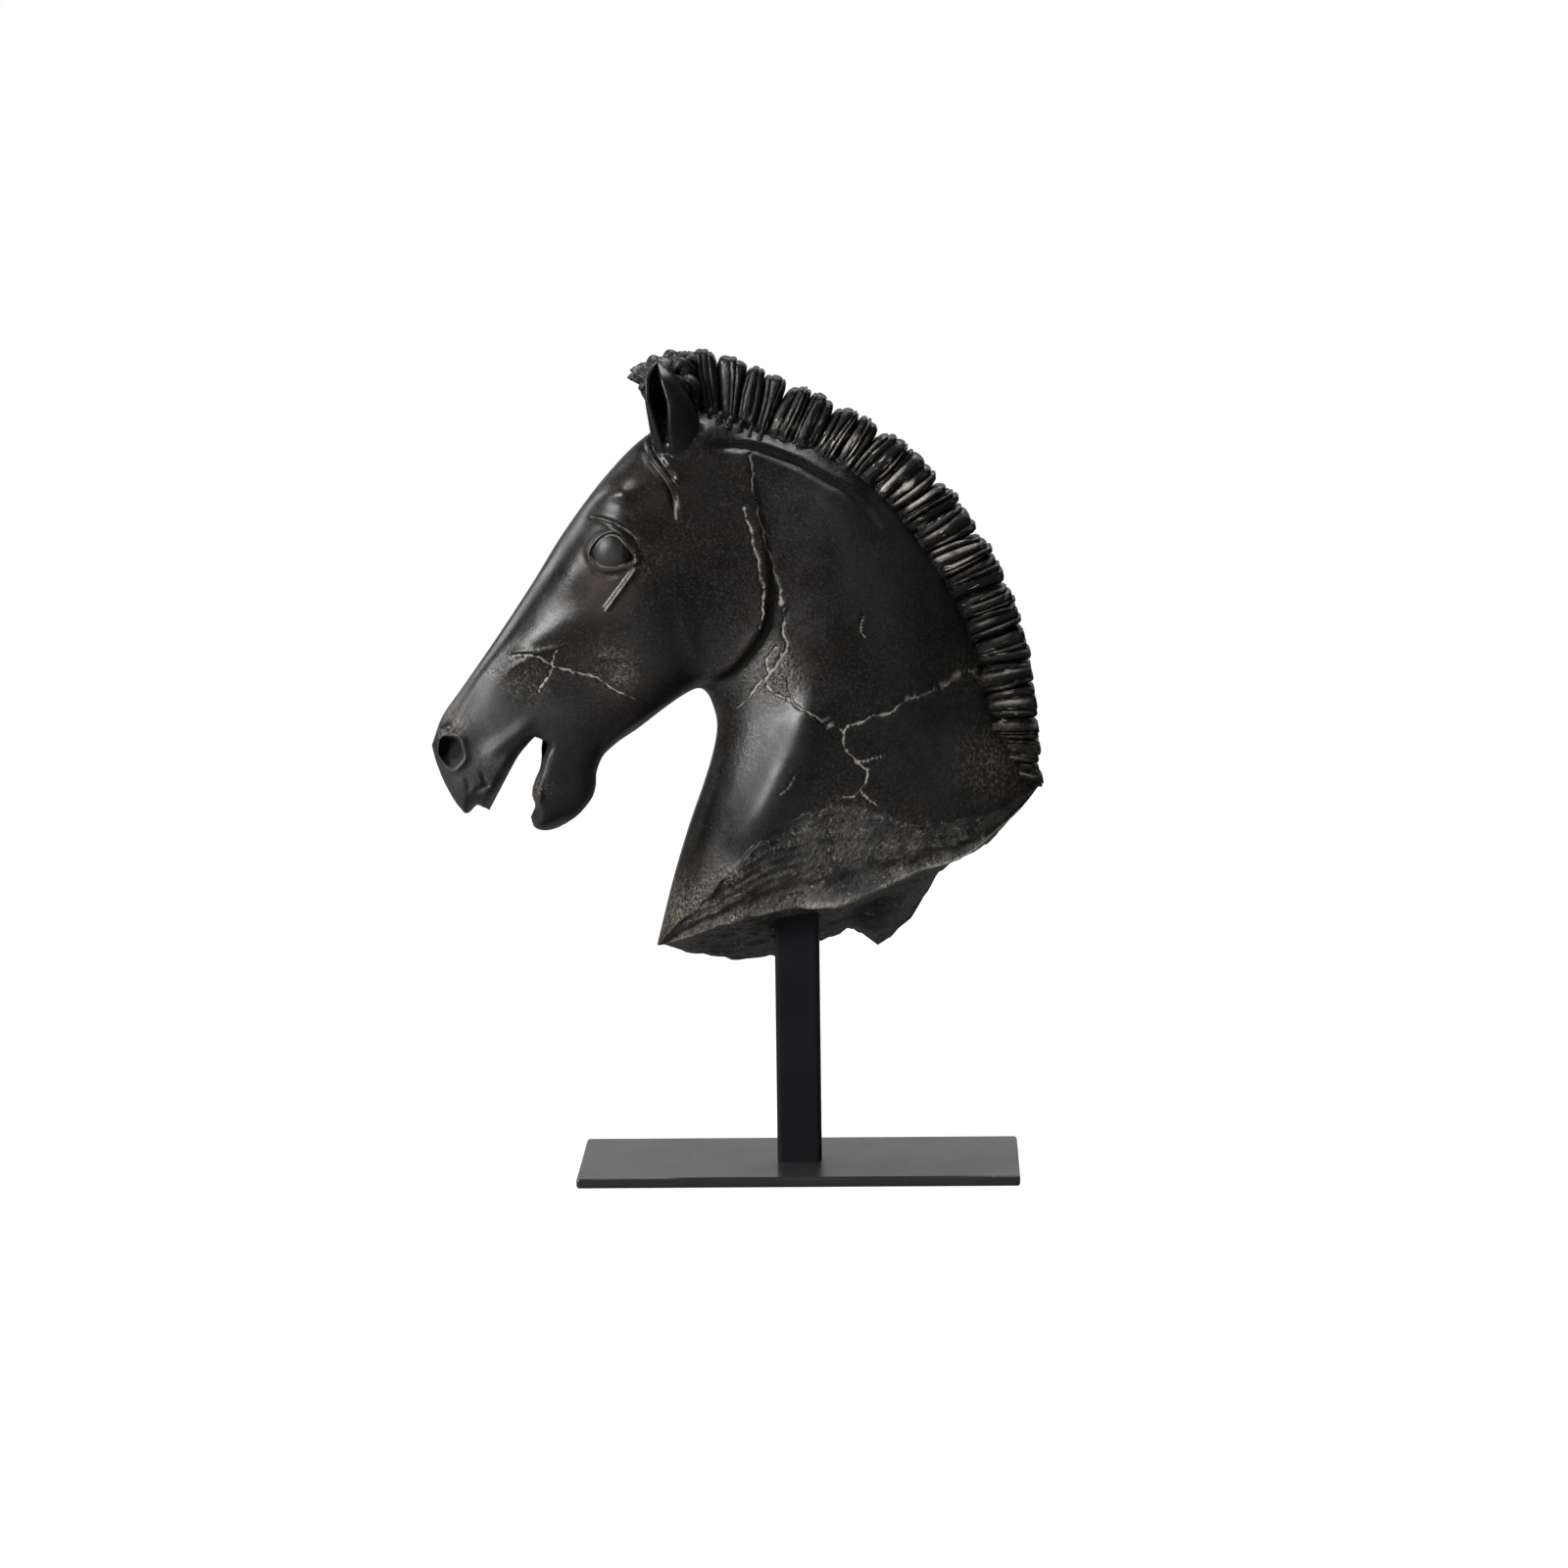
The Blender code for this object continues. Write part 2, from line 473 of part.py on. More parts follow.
def core_surface():
    """Points and faces of the round core that the curls grow from."""
    lift, turned = np.meshgrid(np.linspace(-1.45, 1.45, CORE_RINGS),
                               np.linspace(0, 2 * np.pi, CORE_SIDES, endpoint=False), indexing="ij")
    unit = np.stack([np.cos(lift) * np.cos(turned), np.cos(lift) * np.sin(turned), np.sin(lift)], axis=-1)
    halves = np.array((FORELOCK_HALF_LENGTH, FORELOCK_HALF_WIDTH, FORELOCK_HALF_HEIGHT))
    return closed_rings(np.array(FORELOCK_CORE) + halves * unit, True)


def ear_surface(side):
    """Points and faces of one ear: a leaf, cupped and open outwards.

    A ring runs round the back along an ellipse and returns inside it, a wall further in.
    Below the cup the way back lies on the ellipse's own front instead, so the ring is full.
    """
    rise = np.linspace(0, 1, EAR_RINGS)
    middle, size = through(EAR_AXIS, rise), through(EAR_SIZE, rise)
    cupped = smooth_step(EAR_CUP_START, EAR_CUP_START + EAR_CUP_RISE, rise)[:, None, None]
    slit = (EAR_SLIT_LOW + EAR_SLIT_WIDE * smooth_step(0.36, 0.7, rise))[:, None]
    way = np.linspace(0, 1, EAR_SIDES)[None]
    back = EAR_FACES + slit + way * (2 * np.pi - 2 * slit)
    front = EAR_FACES - slit + 2 * slit * way[:, 1:-1]
    inside = EAR_FACES - slit - way[:, 1:-1] * (2 * np.pi - 2 * slit)
    shrunk = np.clip(1 - EAR_WALL / size[:, 1:], 0.05, 1)[..., None]

    def ring(angle):
        return size[:, None, :] * np.stack([np.cos(angle), np.sin(angle)], axis=-1)

    loop = np.concatenate([ring(back), (1 - cupped) * ring(front) + cupped * shrunk * ring(inside)], axis=1)
    x = middle[:, :1] + loop[..., 0]
    y = side * (middle[:, 1:2] - loop[..., 1])
    return closed_rings(np.stack([x, y, middle[:, 2:] + 0 * x], axis=-1), side > 0)


def to_world(points):
    """From the drawing to the real size, seated on the top of the post."""
    size = HEAD_LENGTH / (MANE_TIPS[-1][1] - OUTER_EDGE[0][1])
    return points * size + np.array((0, 0, seat_height() - DRAWN_SEAT * size))


def seat_height():
    """Height of the socket's end, just above the top of the post."""
    return PLATE_THICKNESS + FIT_GAP + POST_LENGTH + FIT_GAP


def add_object(name, points, faces, material):
    """Mesh object from points and faces, its doubled points merged and faces turned out."""
    mesh = bpy.data.meshes.new(name)
    mesh.from_pydata(points, [], faces)
    work = bmesh.new()
    work.from_mesh(mesh)
    bmesh.ops.remove_doubles(work, verts=work.verts, dist=0.00002)
    bmesh.ops.dissolve_degenerate(work, edges=work.edges, dist=0.00002)
    bmesh.ops.recalc_face_normals(work, faces=work.faces)
    bmesh.ops.triangulate(work, faces=work.faces)
    work.to_mesh(mesh)
    work.free()
    made = bpy.data.objects.new(name, mesh)
    bpy.context.scene.collection.objects.link(made)
    if material:
        mesh.materials.append(material)
    return made


def finish(name, colour, roughness):
    """Plain Principled material of one colour."""
    material = bpy.data.materials.new(name)
    material.use_nodes = True
    shader = material.node_tree.nodes["Principled BSDF"]
    shader.inputs["Base Color"].default_value = (*colour, 1)
    shader.inputs["Roughness"].default_value = roughness
    return material


def as_tool(made):
    """Keep a shape that only joins to or cuts another out of view."""
    made.hide_render = True
    made.display_type = "WIRE"
    return made


def add_boolean(target, tool, operation):
    """Join a shape to the target, or cut it away."""
    modifier = target.modifiers.new(tool.name, "BOOLEAN")
    modifier.operation = operation
    modifier.solver = "EXACT"
    modifier.object = tool


def add_box(name, size, centre, material, bevel, segments, upright_only=False):
    """Box with rounded edges: all of them, or the upright ones alone."""
    mesh = bpy.data.meshes.new(name)
    work = bmesh.new()
    bmesh.ops.create_cube(work, size=1)
    bmesh.ops.scale(work, vec=size, verts=work.verts)
    edges = [edge for edge in work.edges
             if not upright_only or abs(edge.verts[0].co.z - edge.verts[1].co.z) > size[2] / 2]
    if bevel:
        bmesh.ops.bevel(work, geom=edges, offset=bevel, segments=segments, profile=0.5, affect="EDGES")
    work.to_mesh(mesh)
    work.free()
    made = bpy.data.objects.new(name, mesh)
    made.location = centre
    bpy.context.scene.collection.objects.link(made)
    if material:
        mesh.materials.append(material)
    return made


def build_head():
    """The cast head and neck with its mane, forelock and ears, and the socket for the post."""
    resin = finish("cast resin, black", (0.020, 0.017, 0.015), 0.45)
    points, faces = head_surface()
    head = add_object("horse_head", to_world(points), faces, resin)
    shapes = [("mane", *mane_surface()), ("forelock", *core_surface()),
              ("ear_near", *ear_surface(-1)), ("ear_far", *ear_surface(1))]
    for row, (tip_x, tip_z, root_x, root_z) in enumerate(CURL_ROWS):
        for lane, (y, drop) in enumerate(CURL_LANES):
            start, end = (root_x, 0.7 * y, root_z - drop), (tip_x + 0.12 * abs(y), y, tip_z - drop)
            shapes.append((f"curl_{row}_{lane}", *curl_surface(start, end, CURL_WIDTH)))
    for name, points, faces in shapes:
        add_boolean(head, as_tool(add_object(name, to_world(points), faces, None)), "UNION")
    socket_side = POST_SIDE + 2 * FIT_GAP
    socket = add_box("post_socket", (socket_side, socket_side, SOCKET_CUT),
                     (0, 0, seat_height() - SOCKET_CUT / 2), None, 0, 0)
    add_boolean(head, as_tool(socket), "DIFFERENCE")


def build_stand():
    """The square post and the base plate it stands on."""
    post_coat = finish("powder coat, black", (0.012, 0.012, 0.014), 0.5)
    plate_coat = finish("powder coat, charcoal", (0.03, 0.03, 0.032), 0.3)
    add_box("base_plate", (PLATE_LENGTH, PLATE_WIDTH, PLATE_THICKNESS),
            (0, 0, PLATE_THICKNESS / 2), plate_coat, PLATE_CORNER, 2)
    add_box("post", (POST_SIDE, POST_SIDE, POST_LENGTH),
            (0, 0, PLATE_THICKNESS + FIT_GAP + POST_LENGTH / 2), post_coat, POST_CORNER, 3, True)


clear_scene()
build_stand()
build_head()
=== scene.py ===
"""Horse head figurine on its stand, dressed for a still picture.

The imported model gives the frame. The base plate and the post keep their solids and get
their finishes. The cast head is modelled again as one fine mesh over its solid.
All lengths of the cast are millimetres in the frame's own axes, turned to metres by MM.
"""
import json
import math
from functools import partial

import bmesh
import bpy
import numpy as np
from mathutils import Matrix, Vector

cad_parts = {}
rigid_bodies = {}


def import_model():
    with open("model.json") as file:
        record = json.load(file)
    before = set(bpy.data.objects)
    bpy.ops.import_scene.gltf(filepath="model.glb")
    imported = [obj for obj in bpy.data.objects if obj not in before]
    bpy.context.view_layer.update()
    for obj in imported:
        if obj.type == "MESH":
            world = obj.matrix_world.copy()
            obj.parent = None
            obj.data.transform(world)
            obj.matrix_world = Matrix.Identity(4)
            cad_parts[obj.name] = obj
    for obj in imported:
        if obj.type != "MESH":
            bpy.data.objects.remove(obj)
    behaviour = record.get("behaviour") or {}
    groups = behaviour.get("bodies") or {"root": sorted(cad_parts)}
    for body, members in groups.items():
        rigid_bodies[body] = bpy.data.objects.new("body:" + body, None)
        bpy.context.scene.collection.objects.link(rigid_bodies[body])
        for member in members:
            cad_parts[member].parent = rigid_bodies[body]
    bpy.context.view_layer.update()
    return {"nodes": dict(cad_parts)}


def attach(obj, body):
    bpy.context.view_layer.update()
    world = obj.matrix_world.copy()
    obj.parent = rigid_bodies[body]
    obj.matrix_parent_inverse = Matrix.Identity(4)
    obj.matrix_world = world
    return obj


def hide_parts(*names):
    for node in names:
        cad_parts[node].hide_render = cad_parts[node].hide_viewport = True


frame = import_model()

# Room: white paper as a floor before a white wall, two strong soft lights, from the front left
# and from above, three weak ones, and a camera a little above the head that looks slightly
# down. Each light has its name, place, side in metres and power in watts.
FLOOR_SIZE = 3.0
FLOOR_GLOW = 0.95
FLOOR_COLOUR = (0.16, 0.16, 0.16)
CAMERA_PLACE = (0.0716, -2.8098, 0.6739)
CAMERA_DOWN = math.radians(9.131)
CAMERA_LEFT = math.radians(1.589)
CAMERA_ROLL = math.radians(-0.741)
CAMERA_LENS = 115.6
ROOM_LIGHT = 0.07
LIGHT_AIM = (-0.03, 0.0, 0.3)
SOFT_LIGHTS = [
    ("key_light", (-1.42, -0.94, 0.86), 0.7, 38.0),
    ("left_light", (-1.35, 1.0, 0.9), 0.7, 5.2),
    ("top_light", (0.1, 0.3, 1.9), 1.1, 36.0),
    ("fill_light", (0.8, -2.2, 1.0), 0.8, 1.4),
    ("back_light", (0.0, 2.3, 0.55), 1.6, 3.8),
]


def link_new(name, data):
    """Object of a mesh, camera or light, put in the scene."""
    made = bpy.data.objects.new(name, data)
    bpy.context.scene.collection.objects.link(made)
    return made


def new_finish(name):
    """Material with its tree, its shader and the place on the object in metres."""
    finish = bpy.data.materials.new(name)
    finish.use_nodes = True
    tree = finish.node_tree
    place = tree.nodes.new("ShaderNodeTexCoord").outputs["Object"]
    return finish, tree, tree.nodes["Principled BSDF"].inputs, place


def seen_level(tree, socket, elsewhere, to_camera):
    """Give a socket one level where the camera looks straight at it and another elsewhere."""
    path = tree.nodes.new("ShaderNodeLightPath")
    level = tree.nodes.new("ShaderNodeMapRange")
    level.inputs["To Min"].default_value = elsewhere
    level.inputs["To Max"].default_value = to_camera
    tree.links.new(path.outputs["Is Camera Ray"], level.inputs["Value"])
    tree.links.new(level.outputs["Result"], socket)


floor_mesh = bpy.data.meshes.new("floor")
floor_mesh.from_pydata([(x * FLOOR_SIZE / 2, y * FLOOR_SIZE / 2, 0)
                        for x, y in ((-1, -1), (1, -1), (1, 1), (-1, 1))], [], [(0, 1, 2, 3)])
floor_finish, floor_tree, floor_shader, _ = new_finish("floor, white matt paper")
floor_shader["Base Color"].default_value = (*FLOOR_COLOUR, 1)
floor_shader["Roughness"].default_value = 0.9
floor_shader["Emission Color"].default_value = (1, 1, 1, 1)
seen_level(floor_tree, floor_shader["Emission Strength"], 0.0, FLOOR_GLOW)
floor_mesh.materials.append(floor_finish)
floor = link_new("floor", floor_mesh)

camera_data = bpy.data.cameras.new("camera")
camera_data.lens = CAMERA_LENS
camera = link_new("camera", camera_data)
camera_turn = (Matrix.Rotation(CAMERA_LEFT, 4, "Z")
               @ Matrix.Rotation(math.pi / 2 - CAMERA_DOWN, 4, "X")
               @ Matrix.Rotation(CAMERA_ROLL, 4, "Z"))
camera.matrix_world = Matrix.Translation(CAMERA_PLACE) @ camera_turn
bpy.context.scene.camera = camera

for name, place, side, power in SOFT_LIGHTS:
    light_data = bpy.data.lights.new(name, "AREA")
    light_data.size = side
    light_data.energy = power
    light = link_new(name, light_data)
    light.location = place
    light.rotation_euler = (Vector(LIGHT_AIM) - light.location).to_track_quat("-Z", "Y").to_euler()

world = bpy.data.worlds.new("white studio")
bpy.context.scene.world = world
world.use_nodes = True
sky = world.node_tree.nodes["Background"]
sky.inputs["Color"].default_value = (1, 1, 1, 1)
seen_level(world.node_tree, sky.inputs["Strength"], ROOM_LIGHT, 1.0)
bpy.context.scene.view_settings.view_transform = "Standard"


# Base plate: a flat steel plate with eased edges, powder coated in a satin charcoal that
# mirrors the room softly. It keeps its solid and gets this finish.
PLATE_COLOUR = (0.028, 0.027, 0.028)


def feed(tree, socket, value):
    """Link a socket to another one's output, or set it to a plain value."""
    if isinstance(value, bpy.types.NodeSocket):
        tree.links.new(value, socket)
    else:
        socket.default_value = value


def noise(tree, place, scale, detail=3.0, roughness=0.5, bend=0.0):
    """Noise between about 0.3 and 0.7, with so many waves to the metre."""
    node = tree.nodes.new("ShaderNodeTexNoise")
    feed(tree, node.inputs["Vector"], place)
    levels = {"Scale": scale, "Detail": detail, "Roughness": roughness, "Distortion": bend}
    for name, value in levels.items():
        node.inputs[name].default_value = value
    return node.outputs["Fac"]


def spread(tree, value, low, high, to_low=0.0, to_high=1.0):
    """Smooth step from to_low, where the value is low, to to_high, where it is high."""
    node = tree.nodes.new("ShaderNodeMapRange")
    node.interpolation_type = "SMOOTHSTEP"
    feed(tree, node.inputs["Value"], value)
    edges = {"From Min": low, "From Max": high, "To Min": to_low, "To Max": to_high}
    for name, edge in edges.items():
        node.inputs[name].default_value = edge
    return node.outputs["Result"]


def blend(tree, share, first, second):
    """Colour between two colours by share."""
    node = tree.nodes.new("ShaderNodeMix")
    node.data_type = "RGBA"
    feed(tree, node.inputs[0], share)
    for socket, colour in ((node.inputs[6], first), (node.inputs[7], second)):
        feed(tree, socket, (*colour, 1) if isinstance(colour, tuple) else colour)
    return node.outputs[2]


def raised(tree, height, depth, normal=None, strength=1.0):
    """Bump of a height between 0 and 1, depth in metres, over another bump."""
    node = tree.nodes.new("ShaderNodeBump")
    node.inputs["Strength"].default_value = strength
    node.inputs["Distance"].default_value = depth
    feed(tree, node.inputs["Height"], height)
    if normal:
        feed(tree, node.inputs["Normal"], normal)
    return node.outputs["Normal"]


def coat(steel, name, colour, roughness, grain, grain_depth, shine=0.5):
    """Give a solid a powder coat: its roughness drifts between two levels and its tone by a
    third, over a fine orange-peel bump of so many waves to the metre."""
    finish, tree, shader, place = new_finish(name)
    shader["Specular IOR Level"].default_value = shine
    drift = noise(tree, place, 14.0, 5.0, 0.6)
    paler = tuple(1.35 * part for part in colour)
    feed(tree, shader["Roughness"], spread(tree, drift, 0.35, 0.65, *roughness))
    feed(tree, shader["Base Color"], blend(tree, spread(tree, drift, 0.3, 0.7), colour, paler))
    feed(tree, shader["Normal"], raised(tree, noise(tree, place, grain, 2.0), grain_depth))
    steel.data.materials.clear()
    steel.data.materials.append(finish)


coat(frame["nodes"]["base_plate"], "plate, satin charcoal powder coat", PLATE_COLOUR, (0.2, 0.3),
     900.0, 0.00002)


# Post: 25 mm square steel section welded upright on the plate and run up into the head,
# powder coated in a flatter black. It keeps its solid.
POST_COLOUR = (0.009, 0.0095, 0.012)

coat(frame["nodes"]["post"], "post, flat black powder coat", POST_COLOUR, (0.42, 0.55), 1300.0,
     0.00004, 0.2)


# Head and neck: the main body of the resin cast. Two sides, drawn square on, stand out
# from the middle plane and meet along every edge; below, a rough break joins them.

# Outlines are rows of (section, x, z): sections run from the lips (0) by the mouth corner (2),
# the eye (6) and the poll (8) to the break (15). Lips and mouth count by a share instead.
MM = 0.001
OUTER_EDGE = [
    (0, -205.4, 246), (1, -199, 262.5), (2, -187.8, 278.3), (3, -168, 306), (4, -147, 337),
    (5, -127.5, 367.5), (6, -104, 398), (7, -80, 421), (8, -50, 436), (9, -15, 427),
    (10, 20, 414.5), (11, 52, 391), (12, 80, 354), (13, 101, 313), (14, 113, 265), (15, 138.5, 221),
]
INNER_EDGE = [
    (0, -130.5, 200.3), (0.6, -121.5, 207), (1, -115.5, 214.5), (1.5, -112.9, 222), (2, -112.2, 230),
    (2.5, -108.5, 239), (3, -102, 245.3), (4, -88.4, 254.7), (5, -74, 265.6), (6, -63, 273.2),
    (7, -54.5, 277.2), (8, -49.5, 275), (9, -46, 268), (10, -43.7, 257), (11, -45.8, 242.7),
    (12, -51.5, 224), (13, -60.5, 199), (14, -70, 168), (15, -79.8, 130),
]
MOUTH_FRONT = [(0, -173.5, 208.5), (0.5, -166.5, 221.5), (1, -160.5, 232.5), (1.6, -154.3, 242.3)]
MOUTH_REAR = [(0, -150.2, 204.5), (0.3, -147.4, 211.4), (0.65, -149, 218.4), (1.1, -147.4, 225.4),
              (1.6, -143.8, 235)]
MOUTH_CORNER = 2
CORNER_SHARE = 0.575
CORNER_HALF_GAP = 0.022
UPPER_LIP = [(0, -205.4, 246), (0.25, -202.6, 235), (0.45, -197.5, 222.5), (0.62, -190.5, 210.8),
             (0.72, -185.6, 206.9), (0.79, -180.6, 211.6), (0.88, -176.8, 210.3), (1, -173.5, 208.5)]
CHIN = [(0, -150.2, 204.5), (0.25, -148.3, 199.2), (0.5, -143, 196.9), (0.75, -136.5, 197.6),
        (1, -130.5, 200.3)]
LIP_ROUND = 14
CHIN_ROUND = 10
MOUTH_ROUND = 7
THINNEST = 0.08
# Number, half thickness, share of the way across where it is widest, fullness on both sides
SECTIONS = [
    (0, 21, 0.36, 2.4, 2.2), (1, 24, 0.4, 2.4, 2.2), (2, 22, 0.42, 2.5, 2.4), (3, 23, 0.42, 2.8, 2.8),
    (4, 29, 0.42, 3.2, 3.2), (5, 36, 0.38, 3.4, 3.4), (6, 40, 0.36, 3.4, 3.4), (7, 38, 0.42, 2.8, 3.2),
    (8, 35, 0.5, 2.3, 2.6), (9, 34, 0.55, 2.4, 2.2), (10, 35, 0.57, 2.5, 1.9), (11, 38, 0.57, 2.6, 1.9),
    (12, 42, 0.58, 2.6, 2.0), (13, 45, 0.6, 2.5, 2.0), (14, 47, 0.62, 2.3, 2.0), (15, 48, 0.64, 2.2, 2.0),
]


def through(rows, at):
    """Smooth curve through rows of (parameter, values...): cubic spans whose end slopes
    are the mean of the slopes on both sides, weighted by the other span's length."""
    rows = np.asarray(rows, dtype=float)
    knots, values = rows[:, 0], rows[:, 1:]
    at = np.asarray(at, dtype=float)
    spans = np.diff(knots)[:, None]
    steps = np.diff(values, axis=0) / spans
    slopes = np.empty_like(values)
    slopes[0], slopes[-1] = steps[0], steps[-1]
    slopes[1:-1] = (steps[:-1] * spans[1:] + steps[1:] * spans[:-1]) / (spans[1:] + spans[:-1])
    first = np.clip(np.searchsorted(knots, at, side="right") - 1, 0, len(knots) - 2)
    width = spans[first][..., 0][..., None]
    f = ((at - knots[first]) / spans[first][..., 0])[..., None]
    return ((1 + 2 * f) * (1 - f) ** 2 * values[first] + f * (1 - f) ** 2 * width * slopes[first]
            + f ** 2 * (3 - 2 * f) * values[first + 1] - f ** 2 * (1 - f) * width * slopes[first + 1])


def smooth_step(low, high, value):
    """Rise from 0 at low to 1 at high, as 3f^2 - 2f^3."""
    f = np.clip((value - low) / (high - low), 0, 1)
    return f * f * (3 - 2 * f)


def line_points(points, steps=5):
    """Smooth line through given points, with so many steps between two of them."""
    rows = [(number, *point) for number, point in enumerate(points)]
    return through(rows, np.linspace(0, len(points) - 1, steps * (len(points) - 1) + 1))


def line_distance(x, z, line):
    """Distance from each x, z to the nearest stretch of a line, the side of it it lies on,
    and how far along the line that is, from 0 to 1. Works through the line stretch by
    stretch and keeps the nearest."""
    best = np.full(x.shape, 1e9)
    side, along = np.zeros(x.shape), np.zeros(x.shape)
    for number, (start, step) in enumerate(zip(line[:-1], np.diff(line, axis=0))):
        dx, dz = x - start[0], z - start[1]
        share = np.clip((dx * step[0] + dz * step[1]) / (step ** 2).sum(), 0, 1)
        away = np.hypot(dx - share * step[0], dz - share * step[1])
        nearer = away < best
        best = np.where(nearer, away, best)
        side = np.where(nearer, np.sign(dx * step[1] - dz * step[0]), side)
        along = np.where(nearer, (number + share) / (len(line) - 1), along)
    return best, side, along


def share_across(section, across):
    """Share of the way across a section for the grid's own number: 0 to 1 above the mouth,
    1 to 2 over the strip behind its corner, 2 to 3 below. The mouth line is drawn to the
    middle behind the face."""
    middle = CORNER_SHARE - 0.075 * smooth_step(MOUTH_CORNER, 6, section)
    upper, lower = middle - CORNER_HALF_GAP, middle + CORNER_HALF_GAP
    return np.where(across <= 1, across * upper,
                    np.where(across < 2, upper + (across - 1) * (lower - upper),
                             lower + (across - 2) * (1 - lower)))


# The break: where the neck was broken off. The skin ends in a ragged edge on each side,
# and from the near one the stone-like face drops to a lip, then runs under to the far one.
# The rows are share from the mane to the throat, x and z, with y too on the lip. The lumps'
# rows are height, size and seed.
NEAR_BREAK = [(0, 138.5, 221), (0.06, 124, 216), (0.14, 106, 209), (0.25, 85, 206), (0.37, 60, 210),
              (0.48, 36, 216), (0.58, 12, 216), (0.66, -8, 207), (0.75, -27, 187), (0.86, -46, 168),
              (0.93, -62, 152), (1, -79.8, 130)]
FAR_BREAK = [(0, 138.5, 221), (0.05, 129, 207), (0.11, 118, 191), (0.2, 101, 177), (0.29, 85, 167),
             (0.34, 76, 152), (0.4, 62, 133), (0.47, 46, 122), (0.54, 32, 129), (0.62, 14, 122),
             (0.72, -10, 116), (0.82, -36, 114), (0.91, -60, 118), (1, -79.8, 130)]
BREAK_LIP = [(0, 138.5, 0, 221), (0.05, 129, -16, 212), (0.13, 112, -25, 197), (0.25, 88, -28, 182),
             (0.37, 62, -30, 174), (0.5, 36, -31, 161), (0.6, 12, -30, 157), (0.7, -10, -30, 155),
             (0.8, -38, -28, 149), (0.9, -62, -20, 139), (1, -79.8, 0, 130)]
LIP_AT = 0.45
LIP_HEIGHT = 2.4
FURROW_DEPTH = 2.6
LUMP_SIZES = [(4.2, 17, 0.7), (1.0, 3.6, 4.0)]
FACET_HEIGHT = 1.4
LAYER_HEIGHT = 2.4
HOLLOW_DEPTH = 11
LAST = 15
SKIN_PULL = 3


def ragged(share, seed):
    """Small waves along a broken edge, in millimetres, of four lengths."""
    waves = [(1.5, 23), (0.9, 57), (0.6, 131), (0.35, 271)]
    return sum(size * np.sin(rate * share + seed * (3 + number))
               for number, (size, rate) in enumerate(waves))


def plan(section, across, far):
    """Place on the drawing, as x and z, of points given by section and number across.

    A section is straight from the outer edge to the inner one. In front of the mouth corner
    it has two parts, and the ends bow out to the lips and the chin. Towards the break the
    sections bend to its edge, which is ragged.
    """
    share = share_across(section, across)[:, None]
    outer, inner = through(OUTER_EDGE, section), through(INNER_EDGE, section)
    spot = outer + share * (inner - outer)
    top, foot = through(OUTER_EDGE, MOUTH_CORNER), through(INNER_EDGE, MOUTH_CORNER)
    ends = [top + (CORNER_SHARE + side * CORNER_HALF_GAP) * (foot - top) for side in (-1, 1)]
    in_mouth = np.minimum(section, MOUTH_CORNER)
    bow = ((1 - in_mouth / MOUTH_CORNER) ** 2)[:, None]
    front = through(MOUTH_FRONT + [(MOUTH_CORNER, *ends[0])], in_mouth)
    rear = through(MOUTH_REAR + [(MOUTH_CORNER, *ends[1])], in_mouth)
    for part, first, edge, start, end in ((across <= 1, 0, UPPER_LIP, outer, front),
                                          (across >= 2, 2, CHIN, rear, inner)):
        f = np.clip(across - first, 0, 1)[:, None]
        bulge = through(edge, f[:, 0]) - (1 - f) * np.array(edge[0][1:]) - f * np.array(edge[-1][1:])
        split = (part & (section < MOUTH_CORNER))[:, None]
        spot = np.where(split, start + f * (end - start) + bow * bulge, spot)
    run = np.clip((section - LAST + SKIN_PULL) / SKIN_PULL, 0, 1)[:, None] ** 1.5
    top, foot = through(OUTER_EDGE, LAST), through(INNER_EDGE, LAST)
    edge = np.where(far[:, None], through(FAR_BREAK, share[:, 0]), through(NEAR_BREAK, share[:, 0]))
    spot = spot + run * (edge - top - share * (foot - top))
    tooth = np.sin(np.pi * share[:, 0]) ** 0.3 * smooth_step(LAST - 0.25, LAST, section)
    spot[:, 0] += 0.4 * tooth * ragged(share[:, 0], 2.0 + far)
    spot[:, 1] += tooth * ragged(share[:, 0], 1.0 + far)
    return spot[:, 0], spot[:, 1]


# Relief of the skin: carved lines and places on the drawing, as x and z. RIDGES and MOUNDS
# below give their heights and spreads.
CHEEK_EDGE = [(-24, 420), (-20.5, 400), (-16, 378), (-12.5, 356), (-11.5, 336), (-14.5, 317),
              (-23.5, 302), (-34.6, 290), (-47.2, 283.4), (-59.3, 280)]
CHEEK_HEIGHT = 8.5
CHEEK_FADE = 22
CREST_RIDGE = [(-34, 419), (-18, 417.5), (-2, 411.5), (9, 406.6), (24, 398), (34, 392.2),
               (46.5, 378), (57, 364)]
CREST_GROOVE = [(-52, 417), (-36, 415.5), (-20, 414), (-4, 408), (7.4, 403.4), (22, 395), (31.8, 389.4),
                (44.2, 375.5), (54, 362)]
NECK_RIDGE = [(22, 298), (11, 272), (-3, 242), (-19, 212), (-35, 186)]
NECK_HOLLOW = [(-10, 262), (-19, 240), (-30, 216), (-43, 194), (-58, 172)]
NECK_SOFT_RIDGE = [(20, 360), (24, 335), (24, 310), (20, 290)]
BROW_RIDGE = [(-124, 373), (-118, 383), (-110.5, 389.5), (-101, 392.5), (-91, 392), (-82, 387)]
FACE_RIDGE = [(-84, 338), (-112, 323), (-136, 311), (-160, 297), (-176, 280)]
HOLLOW_RIM = [(-118, 291), (-112, 297), (-102, 300), (-92, 297.5), (-82, 289.5)]
NOSE_VEINS = [[(-162, 300), (-152, 302.5), (-142.5, 302.2), (-134, 304.5), (-125, 308.5)],
              [(-163, 284), (-158.5, 291.5), (-151, 296.3), (-143, 295.5)]]
